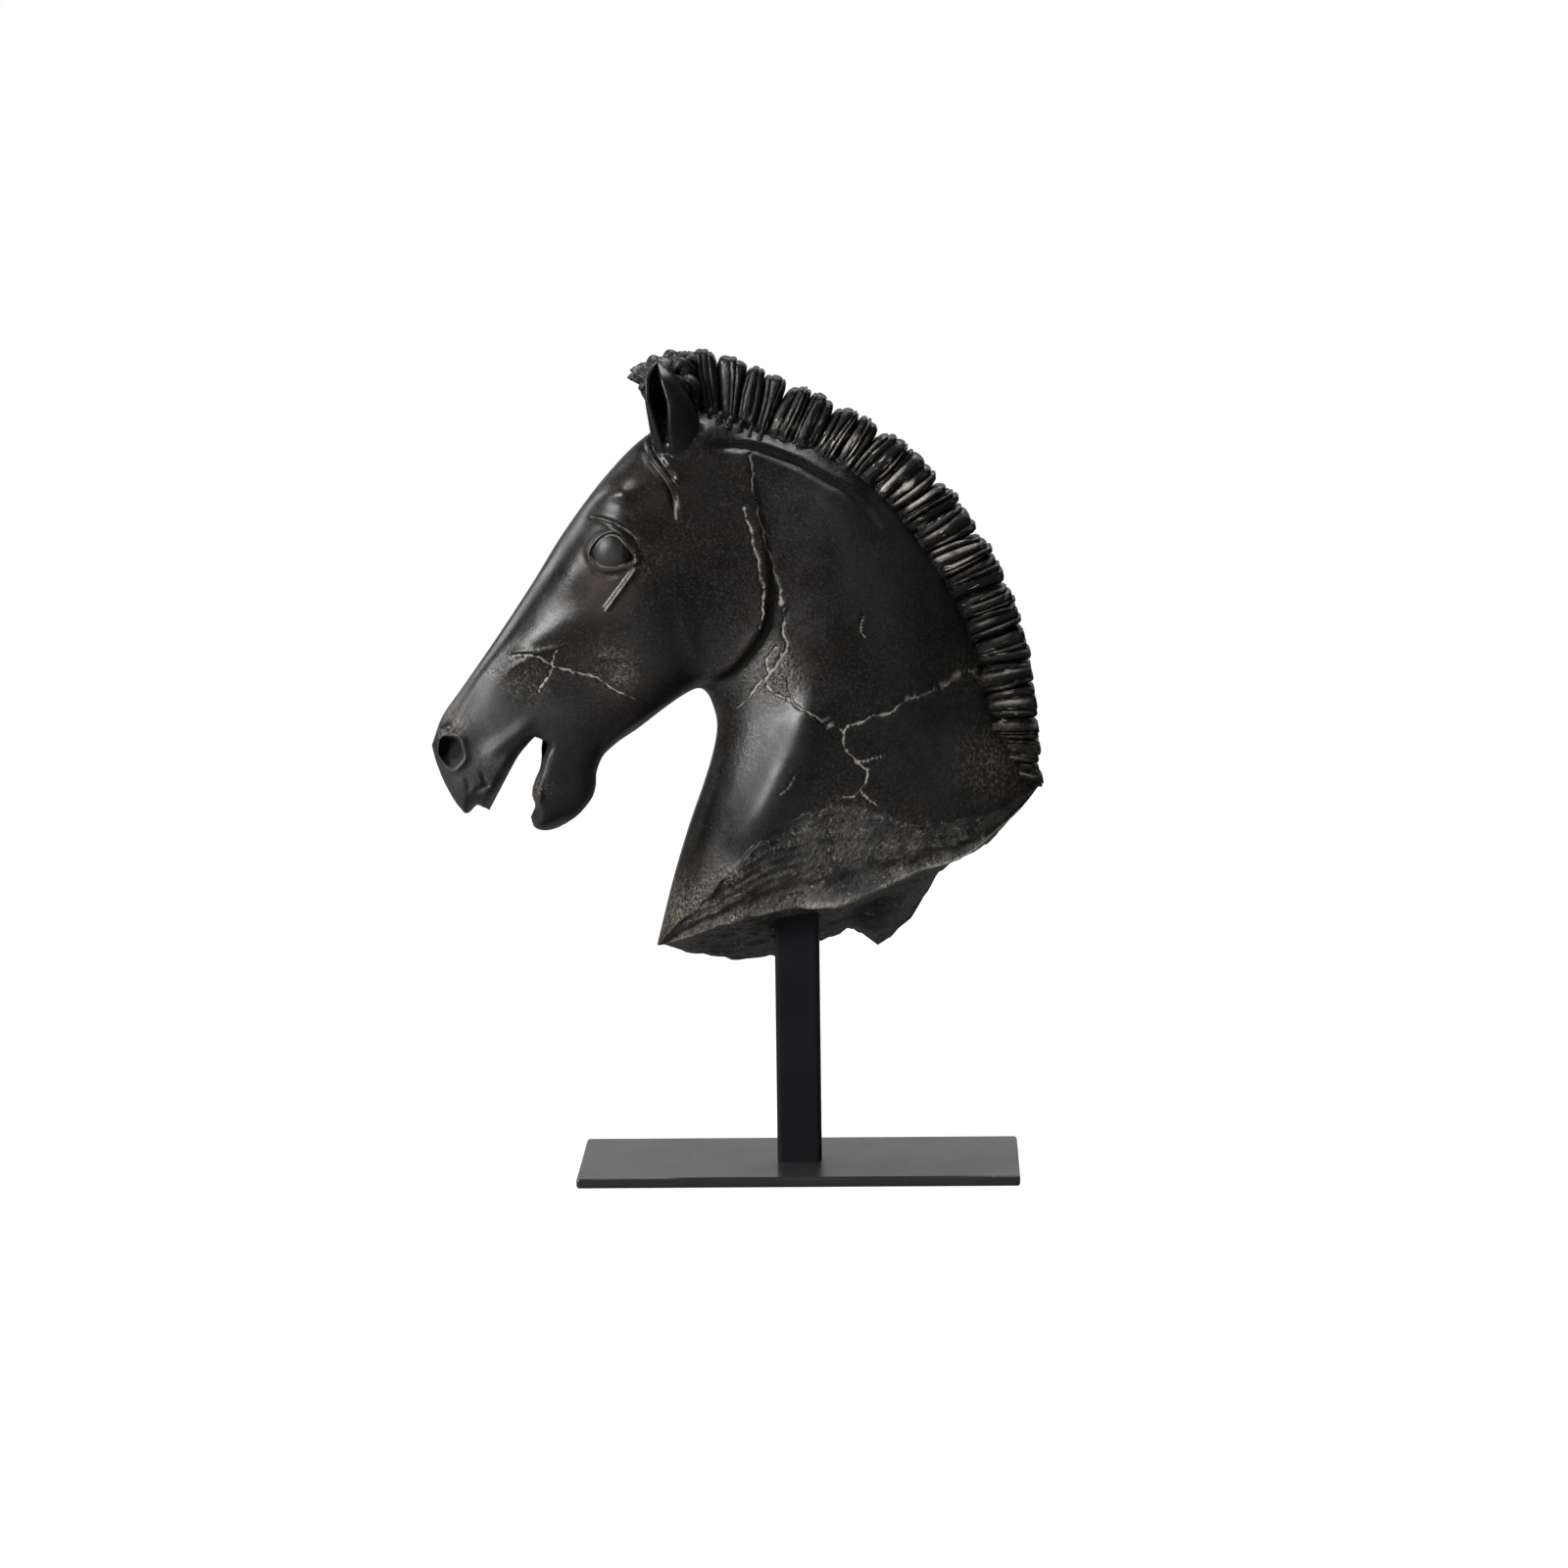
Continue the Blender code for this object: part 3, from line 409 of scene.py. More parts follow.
NASAL_EDGE = [(-140, 338), (-156, 315), (-170, 297), (-177, 288), (-181.5, 280), (-187, 271),
              (-192, 264), (-198, 259)]
JAW_EDGE = [(-60, 278), (-71.4, 269.5), (-88, 261), (-101, 251), (-106, 243)]
LIP_RIDGE = [(-176, 241), (-168.5, 246.5), (-158.2, 254.2), (-150, 260), (-141, 263)]
LIP_WRINKLES = [[(-181, 222), (-176, 225), (-170, 227)],
                [(-186, 233), (-183, 227), (-183.5, 221)],
                [(-176, 236), (-174, 229), (-170, 222)]]
JAW_LIP = [(-137, 249), (-139, 239.6), (-142.2, 229.4), (-143.4, 219.3), (-142.5, 211)]
EYE = (-99.6, 360)
EYE_BALL = 11.5
EYE_BULGE = 5.6
EYE_SET_BACK = 2.2
LID_HEIGHT = 2.3
SOCKET_HEIGHT = 1.1
EYE_OPENING = [(-110.8, 358.2), (-109.6, 361.5), (-106.4, 365.6), (-103.2, 368.2), (-99.2, 369.4),
               (-95, 368.2), (-91.5, 364.1), (-88.6, 359.6), (-86.3, 355.2), (-89.3, 353.2),
               (-94.3, 351.7), (-99.5, 350.8), (-103.9, 351.2), (-107.5, 353), (-109.9, 355.8),
               (-110.8, 358.2)]
LID_FOLD = [(-107, 371.5), (-102.7, 372.7), (-97.1, 371.7), (-91.9, 368.8), (-87.5, 364.6),
            (-85.2, 359.5), (-84.9, 354)]
LID_CREASE = [(-113, 375), (-109.9, 377.3), (-104.2, 376.9), (-99.1, 375.6), (-94.9, 373.7),
              (-90.3, 371), (-86, 367), (-83, 361)]
UNDER_EYE = [(-111, 352), (-108.5, 348.2), (-103.5, 346), (-98, 346.3), (-92, 348)]
TEAR_LINE = [(-85.6, 350.5), (-91.4, 342.5), (-97.3, 334.7), (-103.4, 326.6)]
NOSTRIL = (-193, 245.6)
NOSTRIL_HOLE = 7.4
NOSTRIL_DEPTH = 11
NOSTRIL_RIM = 2.4
NOSTRIL_LEDGE = [(-201, 252.3), (-195, 252.8), (-188.5, 252)]
NOSTRIL_SLIT = [(-200.5, 254.6), (-196.5, 257.2), (-192, 258.2)]
EAR_FOLDS = [[(-85, 423), (-82.6, 419), (-80, 412), (-74.7, 404.8), (-68.3, 397.2), (-64.7, 388.6),
              (-63.2, 377)],
             [(-79, 421), (-77.3, 417.4), (-73.6, 410.6), (-68.3, 403.7), (-62, 395)]]
EAR_ROLLS = [[(-82, 422), (-78.7, 414.5), (-73.8, 407.6), (-67.5, 400), (-62.5, 391)],
             [(-75, 417), (-70.5, 411), (-64, 404)]]
# Line, height, spread, and the share of the line over which each end eases out
RIDGES = [(NECK_RIDGE, 5.5, 12, 0.3), (NECK_HOLLOW, -0.5, 9, 0.3), (NECK_SOFT_RIDGE, 2, 16, 0.5),
          (CREST_GROOVE, -2.3, 1.7, 0.15), (CREST_RIDGE, 1.6, 2.8, 0.15), (BROW_RIDGE, 4.8, 6, 0.25),
          (FACE_RIDGE, 2.6, 10, 0.4), (NASAL_EDGE, 1.8, 4, 0.3), (JAW_EDGE, 1.6, 3.5, 0.25),
          (LIP_RIDGE, 2.6, 3.8, 0.35), (JAW_LIP, 1.5, 1.5, 0.2), (HOLLOW_RIM, 1.1, 1.8, 0.3),
          (LID_FOLD, 0.9, 1.1, 0.25), (LID_CREASE, -2.1, 1.5, 0.25), (UNDER_EYE, -1.1, 1.6, 0.3),
          (TEAR_LINE, 2.2, 1.2, 0.03), (NOSTRIL_SLIT, -4.5, 1.7, 0.2), (NOSTRIL_LEDGE, 1.2, 1.1, 0.2)]
RIDGES += [(wrinkle, -1.8, 1.3, 0.4) for wrinkle in LIP_WRINKLES]
RIDGES += [(vein, 1.1, 1.6, 0.3) for vein in NOSE_VEINS]
RIDGES += [(fold, -2.6, 1.5, 0.15) for fold in EAR_FOLDS]
RIDGES += [(roll, 1.5, 2.2, 0.2) for roll in EAR_ROLLS]
# Place, height and spread, on the neck, the poll, the temple, the muzzle, the jaw and the nose
MOUNDS = [((22, 374), 3, 26), ((-52, 424), 6.5, 13), ((-70, 368), -2.5, 15), ((-177, 250), -2.2, 8),
          ((-186, 229), 1.6, 7), ((-168, 231), -1.5, 6), ((-99, 291), -3, 9), ((-150, 276), -1.8, 14)]


def bell(distance, width):
    """Bell curve exp(-(d / w)^2)."""
    return np.exp(-(distance / width) ** 2)


def ridge(x, z, points, height, reach, ends):
    """Rounded ridge height * exp(-(d / reach)^2) along a line, eased to nothing at its ends."""
    away, _, along = line_distance(x, z, line_points(points))
    eased = smooth_step(0, ends, along) * smooth_step(1, 1 - ends, along)
    return height * bell(away, reach) * eased


def mound(x, z, centre, height, reach):
    """Rounded mound height * exp(-(d / reach)^2); a hollow where the height is negative."""
    return height * np.exp(-((x - centre[0]) ** 2 + (z - centre[1]) ** 2) / reach ** 2)


def cheek_step(x, z):
    """Round edge of the cheek: a step up from the neck to the cheek that fades out away from
    the line, and is lower along its upper part."""
    away, side, along = line_distance(x, z, line_points(CHEEK_EDGE))
    step = CHEEK_HEIGHT * (smooth_step(-2, 3, away * side) - 0.5) * np.exp(-away / CHEEK_FADE)
    ends = smooth_step(0, 0.12, along) * smooth_step(1, 0.85, along)
    return step * (0.45 + 0.55 * smooth_step(0.35, 0.7, along)) * ends


def eye_relief(x, z):
    """Eyeball (1 - (d / r)^2)^(1/2) set back in the lids' opening, which a rounded rim and a
    wide soft mound surround. The ball sinks towards the eye's rear corner."""
    away, side, _ = line_distance(x, z, line_points(EYE_OPENING, 3))
    inside = away * side
    across = np.hypot(x - EYE[0], z - EYE[1])
    ball = EYE_BULGE * np.sqrt(np.clip(1 - (across / EYE_BALL) ** 2, 0, 1)) - EYE_SET_BACK
    ball = ball - 1.6 * smooth_step(-93, -88, x)
    lids = LID_HEIGHT * bell(inside + 1.4, 1.5) + SOCKET_HEIGHT * bell(across, 18)
    return np.where(inside > 0, ball + (lids - ball) * smooth_step(0.5, 0, inside), lids)


def nostril_relief(x, z):
    """Nostril: a hole with a half-round floor inside a raised rim, both somewhat uneven."""
    turned = np.arctan2(z - NOSTRIL[1], x - NOSTRIL[0])
    across = np.hypot(x - NOSTRIL[0], 0.95 * (z - NOSTRIL[1]))
    across = across * (1 + 0.07 * np.sin(2 * turned + 1.2) + 0.045 * np.sin(5 * turned))
    rim = NOSTRIL_RIM * bell(across - NOSTRIL_HOLE - 1.8, 2.2)
    round_floor = np.sqrt(np.clip(1 - (across / (NOSTRIL_HOLE + 0.4)) ** 2, 0, 1))
    return rim - NOSTRIL_DEPTH * round_floor


def relief(x, z):
    """How far the skin stands out or lies back at each place on the drawing: the sum of the
    step round the cheek, the eye, the nostril, and all ridges and mounds."""
    out = cheek_step(x, z) + eye_relief(x, z) + nostril_relief(x, z)
    out += sum(ridge(x, z, *shape) for shape in RIDGES)
    return out + sum(mound(x, z, *shape) for shape in MOUNDS)


# Cracks: hairlines in the skin, filled with pale paste, that branch down the neck and over
# the jaw. Those of the near side are in their places; the far side has plainer ones.
NEAR_CRACKS = [
    [(-21.5, 411), (-20.6, 392.5), (-17, 376.1), (-12.9, 359.7), (-8.2, 343.3), (-4.7, 324),
     (-4.5, 312.2), (-3.4, 303.7), (-8.3, 295.1), (-15.7, 287.9), (-21.9, 279.3), (-30.5, 270.2)],
    [(-26.2, 383), (-22, 368), (-16.4, 343.3), (-15.5, 332.4), (-17.3, 315.9)],
    [(-9.4, 304.9), (-14.4, 296.4), (-13.2, 290.3), (-14.5, 285.4), (-8.5, 278), (-2.5, 276.7)],
    [(-2.3, 288.5), (-0.6, 276), (6, 271.4), (14.4, 266.4), (22.9, 261.4), (27.7, 257.1),
     (28.8, 248.5), (34.8, 242.3), (40.8, 237.3), (40.8, 232.4), (36.5, 226.3), (32.1, 219.5)],
    [(36.4, 226.3), (41.9, 220.5), (47.9, 215)],
    [(34.8, 242.3), (42.1, 242.2), (48.8, 244.6)],
    [(27.7, 257.1), (30.2, 261.8), (35, 262.9), (43.5, 265.9), (54.5, 268.8), (64.3, 275.5),
     (76.4, 278.4), (84.9, 282), (93.5, 287.5), (103.1, 287.4), (109, 290)],
    [(-156.6, 299.1), (-150, 301), (-142.2, 299.2), (-134.6, 294.9), (-124, 291), (-113.8, 289.5),
     (-101, 282), (-89.5, 274.6)],
    [(-132, 303.5), (-134.4, 296), (-138, 286.5), (-142.8, 279.1)],
    [(39.4, 321.4), (38.6, 316), (40.4, 310.4)],
    [(1.9, 236.1), (-4.3, 226.9), (-8, 223.9)],
]
FAR_CRACKS = [
    [(-6, 385), (2, 350), (-2, 318), (12, 290), (34, 268), (62, 250), (70, 226)],
    [(12, 290), (-10, 272), (-26, 262)],
    [(-140, 300), (-118, 292), (-92, 296), (-70, 286)],
]
CRACK_DEPTH = 0.75
CRACK_HALF_WIDTH = 0.68
# Places where cracks meet
KNOTS = [(-2, 276), (28, 255), (29.5, 248), (41, 237), (67.9, 276.7), (103, 287.5), (-6, 301),
         (-11, 292)]


def crack_strength(x, z, far):
    """How much of a crack each place is, from 0 to 1: exp(-(d / w)^2), where the half width
    w wavers along the line, with wider knots where cracks meet. The line itself wavers too."""
    waver_x = 0.5 * np.sin(0.4 * z + 1.3) + 0.22 * np.sin(1.1 * z + 0.4 * x)
    waver_z = 0.5 * np.sin(0.37 * x + 0.7) + 0.22 * np.sin(1.0 * x - 0.5 * z)
    strength = np.zeros(x.shape)
    for lines, here in ((NEAR_CRACKS, ~far), (FAR_CRACKS, far)):
        for number, points in enumerate(lines):
            away, _, along = line_distance((x + waver_x)[here], (z + waver_z)[here],
                                           line_points(points, 3))
            uneven = 1 + 0.45 * np.sin(37 * along + number) + 0.3 * np.sin(91 * along)
            half = CRACK_HALF_WIDTH * uneven
            half = half * (0.35 + 0.65 * np.sin(np.pi * np.clip(along, 0.05, 0.95)) ** 0.4)
            strength[here] = np.maximum(strength[here], bell(away, half))
    for knot in KNOTS:
        blot = mound(x + 0.5 * waver_z, z, knot, 0.9, 1.3)
        strength = np.maximum(strength, np.where(far, 0, blot))
    return strength


# Line, half width, and how much paste there is at the line's start and at its end
# Paste round the eye's opening grows from the front corner, over the top and back along the lower lid,
# where it is strongest and also painted highlight.
GILT_LINES = [(EYE_OPENING, 0.6, 0.1, 0.9), (TEAR_LINE, 1.15, 0.75, 0.95),
              (LID_FOLD, 0.5, 0.45, 0.2), (NOSTRIL_LEDGE, 0.7, 0.5, 0.5),
              (NOSE_VEINS[0], 0.6, 0.3, 0.6), (NOSE_VEINS[1], 0.6, 0.3, 0.5),
              (EAR_FOLDS[0], 0.8, 0.0, 0.9), (EAR_FOLDS[1], 0.7, 0.2, 0.6)]


def gilt_strength(x, z):
    """How much paste sits on carved lines round the eye and below it, on the nose and at the
    ear. It goes evenly from a level at the line's start to another at its end."""
    strength = np.zeros(x.shape)
    for points, half, first, last in GILT_LINES:
        away, _, along = line_distance(x, z, line_points(points, 3))
        level = first + along * (last - first)
        strength = np.maximum(strength, level * bell(away, half))
    return strength


def rounded(distance, radius):
    """Quarter round that rises from 0 at an edge to 1 a radius away."""
    return np.sqrt(1 - (1 - np.clip(distance / radius, 0, 1)) ** 2)


def mouth_outline():
    """Edge of the mouth opening from the upper lip round the corner to the lower jaw."""
    at = np.linspace(0, 1.6, 20)
    return np.vstack([through(MOUTH_FRONT, at), [(-148, 248.2), (-143.5, 249.6), (-140, 247.5)],
                      through(MOUTH_REAR, at)[::-1]])


def half_width(section, across, x, z):
    """Half thickness W (1 - d^n)^(1/2) of each section, with d the way from its widest place
    to its edge, rounded down to nothing at the lips, chin and mouth, plus the relief."""
    share = share_across(section, across)
    width, widest, outer_full, inner_full = through(SECTIONS, section).T
    outer = share < widest
    off = np.where(outer, (widest - share) / widest, (share - widest) / (1 - widest))
    full = np.where(outer, outer_full, inner_full)
    half = width * np.sqrt(np.clip(1 - np.clip(off, 0, 1) ** full, 0, 1))
    for edge, radius in ((through(UPPER_LIP, np.linspace(0, 1, 36)), LIP_ROUND),
                         (through(CHIN, np.linspace(0, 1, 24)), CHIN_ROUND),
                         (mouth_outline(), MOUTH_ROUND)):
        half = half * rounded(line_distance(x, z, edge)[0], radius)
    return np.clip(half + relief(x, z) * smooth_step(0, 9, half), THINNEST, None)


def rough(x, y, z, size, seed):
    """Unevenness of broken cast between about -1 and 1: crossing waves, each bent by another,
    in set directions and of falling size, with creases where a wave's sign turns."""
    total = np.zeros_like(x)
    for wave in range(5):
        turned = seed + 2.4 * wave
        reach = size / (1 + 0.55 * wave)
        across = x * math.cos(turned) + z * math.sin(turned) + 0.8 * y * math.cos(3 * turned)
        bent = 1.7 * np.sin((z * math.cos(turned) - x * math.sin(turned)) / (1.9 * reach) + turned)
        swing = np.sin(across / reach + bent)
        total += (swing if wave % 2 else 1 - 2 * np.abs(swing)) / (1 + wave)
    return total / 2.28


def facets(x, y, z, size, seed):
    """Flat facets between about -1 and 1 that meet in sharp ridges: straight-sided waves in
    three set directions, of falling height."""
    total = np.zeros_like(x)
    for wave in range(3):
        turned = seed + 2.1 * wave
        reach = size / (1 + 0.45 * wave)
        across = x * math.cos(turned) + z * math.sin(turned) + 0.9 * y * math.cos(2.3 * turned + 0.5)
        straight = 4 * np.abs((across / reach + 0.37 * wave) % 1 - 0.5) - 1
        total += straight / (1 + 0.8 * wave)
    return total / 2


def break_lumps(x, y, z, run):
    """How far the broken face stands out: lumps of two sizes, wide facets, slanting layers
    towards the low end, and the lip with a furrow above it."""
    lump = sum(height * rough(x, y, z, size, seed) for height, size, seed in LUMP_SIZES)
    lump += FACET_HEIGHT * facets(x, y, z, 38, 0.4)
    bent = z - 0.42 * x + 0.3 * y + 2 * np.sin(0.09 * x) + 1.8 * rough(x, y, z, 11, 2.0)
    layers = np.abs((bent / 5.2) % 1 - 0.3) + 0.5 * np.abs((bent / 2.3) % 1 - 0.4)
    lump += LAYER_HEIGHT * layers * smooth_step(50, -20, x)
    lump += LIP_HEIGHT * bell(run - LIP_AT, 0.03)
    return lump - FURROW_DEPTH * bell(run - LIP_AT + 0.1, 0.05)


def in_middle_plane(section, across):
    """Where the skin lies in the middle plane: along every edge and round the mouth."""
    in_mouth = (section <= MOUTH_CORNER) & ((across == 1) | (across == 2))
    return (across == 0) | (across == 3) | (section == 0) | in_mouth


def head_points(section, across, cross):
    """Places of the points of head and neck, in millimetres, with what each one is.

    cross is -1 on the near side and 1 on the far one. Between them, on the last section, it
    runs over the break: from the near edge to the lip, and on to the far edge, with lumps
    that fade at the edges and a hollow behind the post. The lip's rim is painted pale, as worn
    paste and as a painted highlight where the rim catches the light.
    """
    far = cross > 0
    skin = np.abs(cross) == 1
    x, z = plan(section, across, far)
    half = half_width(section, across, x, z)
    crack = crack_strength(x, z, far) * smooth_step(2, 6, half)
    points = np.stack([x, cross * (half - CRACK_DEPTH * crack), z], axis=-1)
    flat = in_middle_plane(section, across)
    points[flat, 1] = 0
    last = np.full((~skin).sum(), float(LAST))
    edges = []
    for sign in (-1, 1):
        edge_x, edge_z = plan(last, across[~skin], last * sign > 0)
        edge_half = half_width(last, across[~skin], edge_x, edge_z)
        edge_half[flat[~skin]] = 0
        edges.append(np.stack([edge_x, sign * edge_half, edge_z], axis=-1))
    share = share_across(last, across[~skin])
    lip = through(BREAK_LIP, share)
    run = (cross[~skin] + 1) / 2
    drop = np.clip(run / LIP_AT, 0, 1)[:, None]
    under = np.clip((run - LIP_AT) / (1 - LIP_AT), 0, 1)[:, None]
    broken = edges[0] + drop * (lip - edges[0]) + under * (edges[1] - lip)
    bx, by, bz = broken.T
    fade = (np.sin(np.pi * np.clip(run, 0, 1)) * np.sin(np.pi * share)) ** 0.35
    hollow = HOLLOW_DEPTH * np.exp(-((bx - 42) / 13) ** 2 - ((by - 2) / 15) ** 2)
    away = np.hstack([0 * under, -0.95 + 0.35 * under, -0.3 - 0.6 * under])
    points[~skin] = broken + (fade * (break_lumps(bx, by, bz, run) - hollow))[:, None] * away
    paste_and_highlight = np.maximum(crack, gilt_strength(x, z)) * skin
    # Worn paste and painted highlight: a pale band along the break's lip, where it catches the light.
    paste_and_highlight[~skin] = 0.85 * bell(run - LIP_AT, 0.03) * smooth_step(-60, 20, bx)
    return points, paste_and_highlight, 1.0 - skin


def numbered(rows, columns):
    """Grid of point numbers."""
    return np.arange(rows * columns).reshape(rows, columns)


def grid_faces(index, flip=False):
    """Four-sided faces over a grid of point numbers."""
    corners = [index[:-1, :-1], index[1:, :-1], index[1:, 1:], index[:-1, 1:]]
    faces = np.stack(corners, axis=-1).reshape(-1, 4)
    return faces[:, ::-1] if flip else faces


def cut_corners(faces, flat):
    """Faces with three corners in the middle plane cut in two from the fourth, the rest kept."""
    lone = flat[faces].sum(axis=1) == 3
    quads = faces[lone]
    order = (np.argmin(flat[quads], axis=1)[:, None] + np.arange(4)) % 4
    turned = np.take_along_axis(quads, order, axis=1)
    return faces[~lone].tolist() + turned[:, [0, 1, 2]].tolist() + turned[:, [0, 2, 3]].tolist()


def line_numbers(spans):
    """Grid line positions from spans of (start, end, steps)."""
    parts = [np.linspace(start, end, steps, endpoint=False) for start, end, steps in spans]
    return np.append(np.concatenate(parts), spans[-1][1])


def add_attribute(mesh, name, values):
    """Number of its own at each point of a mesh, for the finish to read."""
    made = mesh.attributes.new(name, "FLOAT", "POINT")
    made.data.foreach_set("value", values.astype(np.float32))


def tidy_mesh(mesh):
    """Doubled points merged, thin slivers dissolved, faces turned out and cut in triangles."""
    work = bmesh.new()
    work.from_mesh(mesh)
    bmesh.ops.remove_doubles(work, verts=work.verts, dist=0.00002)
    bmesh.ops.dissolve_degenerate(work, edges=work.edges, dist=0.00002)
    bmesh.ops.recalc_face_normals(work, faces=work.faces)
    bmesh.ops.triangulate(work, faces=work.faces)
    work.to_mesh(mesh)
    work.free()
    mesh.validate()


def read_points(mesh, what="co"):
    """Places or normals of a mesh's points as an array."""
    flat = np.empty(3 * len(mesh.vertices))
    mesh.vertices.foreach_get(what, flat)
    return flat.reshape(-1, 3)


def edge_ends(mesh):
    """Numbers of the two points that each edge of a mesh links."""
    ends = np.empty(2 * len(mesh.edges), dtype=int)
    mesh.edges.foreach_get("vertices", ends)
    return ends.reshape(-1, 2)


def split_fine(mesh, near_line):
    """Cut in half every edge whose ends both lie where near_line says, off the outline."""
    section, across, cross = read_points(mesh).T
    x, z = plan(section, across, cross > 0)
    inside = (section > 0.05) & (section < LAST - 0.1) & (across > 0.02) & (across < 2.98)
    off_mouth = (section > MOUTH_CORNER + 0.05) | (np.abs(across - 1.5) > 0.55)
    wanted = near_line(x, z, cross > 0) & inside & off_mouth & (np.abs(cross) > 0.999)
    chosen = np.flatnonzero(wanted[edge_ends(mesh)].all(axis=1))
    work = bmesh.new()
    work.from_mesh(mesh)
    work.edges.ensure_lookup_table()
    edges = [work.edges[number] for number in chosen.tolist()]
    bmesh.ops.subdivide_edges(work, edges=edges, cuts=1, use_grid_fill=True)
    work.to_mesh(mesh)
    work.free()


def close_to(lines, reach, x, z):
    """Where places on the drawing lie within reach of any of the lines."""
    found = np.zeros(x.shape, dtype=bool)
    for line in lines:
        found |= line_distance(x, z, line_points(line, 3))[0] < reach
    return found


def fine_places(x, z, far):
    """Where the first split falls: by each side's cracks, by fine carved lines, and round
    the nostril."""
    cracks = np.where(far, close_to(FAR_CRACKS, 3.6, x, z), close_to(NEAR_CRACKS, 4.2, x, z))
    near_nostril = np.hypot(x - NOSTRIL[0], z - NOSTRIL[1]) < 12
    return cracks | close_to(FINE_LINES, 2.2, x, z) | near_nostril


def grid_spots(*ways):
    """Every combination of the numbers given for each way, one to a row."""
    return np.stack(np.meshgrid(*ways, indexing="ij"), axis=-1).reshape(-1, len(ways))


def marked(x, z, places):
    """How strong a mark is at each place on the drawing, from 0 to 1: the sum of its mounds."""
    return np.clip(sum(mound(x, z, *place) for place in places), 0, 1)


# What the mesh tells the finish at each point; a mark that isn't given is 0
MARKS = ("paste_and_highlight", "broken", "hair", "dull", "streak", "comb", "rise")


def add_marks(mesh, marks):
    """All the marks on a mesh, each from one level for the whole or a level per point."""
    for name in MARKS:
        add_attribute(mesh, name, marks.get(name, 0.0) + np.zeros(len(mesh.vertices)))


# Painted shade on the skin, in darker and glossier paint, with strength and spread: down the throat,
# on the bridge of the nose, below the mane, by the ear and, wide and weaker, on the neck
PAINTED_SHADE_PLACES = [((-44, 248), 0.9, 13), ((-49, 222), 1.0, 15), ((-57, 196), 1.0, 17),
               ((-66, 168), 1.0, 18), ((-72, 146), 0.9, 18), ((-152, 314), 0.9, 14),
               ((-130, 344), 0.8, 14), ((-170, 295), 0.6, 10), ((-20, 418), 0.8, 12),
               ((0, 412), 0.9, 12), ((22, 402), 0.9, 12), ((40, 388), 0.9, 12),
               ((-60, 395), 0.8, 16), ((40, 330), 0.6, 40)]
FINE_LINES = [EYE_OPENING, LID_FOLD, LID_CREASE, TEAR_LINE, NOSTRIL_LEDGE, NOSTRIL_SLIT] + EAR_FOLDS
ABOVE_MOUTH = [(0, 0.12, 8), (0.12, 0.4, 13), (0.4, 0.72, 22), (0.72, 0.9, 8), (0.9, 1, 6)]
BELOW_MOUTH = [(2, 2.12, 6), (2.12, 2.88, 26), (2.88, 3, 7)]
sections = line_numbers([(0, 0.3, 8), (0.3, 2, 32), (2, 5, 36), (5, 6.4, 42), (6.4, 8, 22),
                         (8, 14, 58), (14, 14.8, 10), (14.8, 15, 5)])
lines = np.concatenate([line_numbers(ABOVE_MOUTH), line_numbers(BELOW_MOUTH)])
crossing = np.linspace(-1, 1, 78)
number = numbered(len(sections), len(lines))
far_number = number + number.size
break_number = numbered(len(crossing), len(lines)) + 2 * number.size
gap = int(np.argmax(lines >= 2))
behind = int(np.argmax(sections >= MOUTH_CORNER))
spots = np.vstack([grid_spots(sections, lines, [-1.0]), grid_spots(sections, lines, [1.0]),
                   grid_spots(crossing, lines, [float(LAST)])[:, ::-1]])
strips = (np.s_[:, :gap], np.s_[:, gap:], np.s_[behind:, gap - 1:gap + 1])
faces = [grid_faces(side[strip], side is far_number)
         for side in (number, far_number) for strip in strips]
in_middle = in_middle_plane(spots[:, 0], spots[:, 1]) & (np.abs(spots[:, 2]) == 1)
body_mesh = bpy.data.meshes.new("head_cast")
faces = np.vstack(faces + [grid_faces(break_number)])
body_mesh.from_pydata(spots, [], cut_corners(faces, in_middle))
split_fine(body_mesh, fine_places)
for cracks, reach in ((NEAR_CRACKS, 2.0), (NEAR_CRACKS[3:7], 1.2)):
    split_fine(body_mesh, lambda x, z, far: close_to(cracks, reach, x, z) & ~far)
placed, paste_and_highlight, broken = head_points(*read_points(body_mesh).T)
body_mesh.vertices.foreach_set("co", (placed * MM).ravel())
# Painted shade: the skin is darkened at these places, where it lies in shade.
dull = marked(placed[:, 0], placed[:, 2], PAINTED_SHADE_PLACES)
add_marks(body_mesh, {"paste_and_highlight": paste_and_highlight, "broken": broken, "dull": dull})
tidy_mesh(body_mesh)
cast = link_new("head_cast", body_mesh)


# Mane: an upright comb of cropped hair along the crest, cast in one with the neck. Locks
# stand side by side, some parted deep and some hardly, and each is a bundle of strands.
MANE_TIPS = [(7.4, -74, 457), (8, -55, 466.6), (9, -6, 452.5), (10, 32, 434), (11, 71, 407.5),
             (12, 106, 366), (13, 125.5, 321), (14, 137.5, 267), (14.86, 139.6, 219)]
MANE_ROOTS = OUTER_EDGE[:-2] + [(14, 111, 265), (15, 128, 219)]
DEEP_PARTINGS = [(7.4, 2), (8.33, 5), (9.12, 6), (9.83, 4), (10.22, 3), (10.48, 5), (10.9, 4.5),
                 (11.3, 5), (11.97, 8), (12.93, 5), (13.5, 3.5), (14.1, 3), (14.86, 2)]
LOCK_SPAN = 0.29
SHALLOW_PARTING = 1.6
MANE_ROOT_SINK = 13
MANE_ROOT_HALF = 14
MANE_TIP_HALF = 9
SECTION_LENGTH = 45
STRAND_WIDTH = 4.2
STRAND_BULGE = 3.0
# Section, how far strands stand out, and how streaked with paste they are
STRANDS_ALONG = [(7, 0.4, 0.2), (8.6, 0.45, 0.4), (9.5, 0.75, 0.9), (10.3, 1, 1.4), (12, 1, 1.5),
                 (12.8, 0.9, 0.9), (14, 1, 1.1), (15, 0.9, 0.8)]


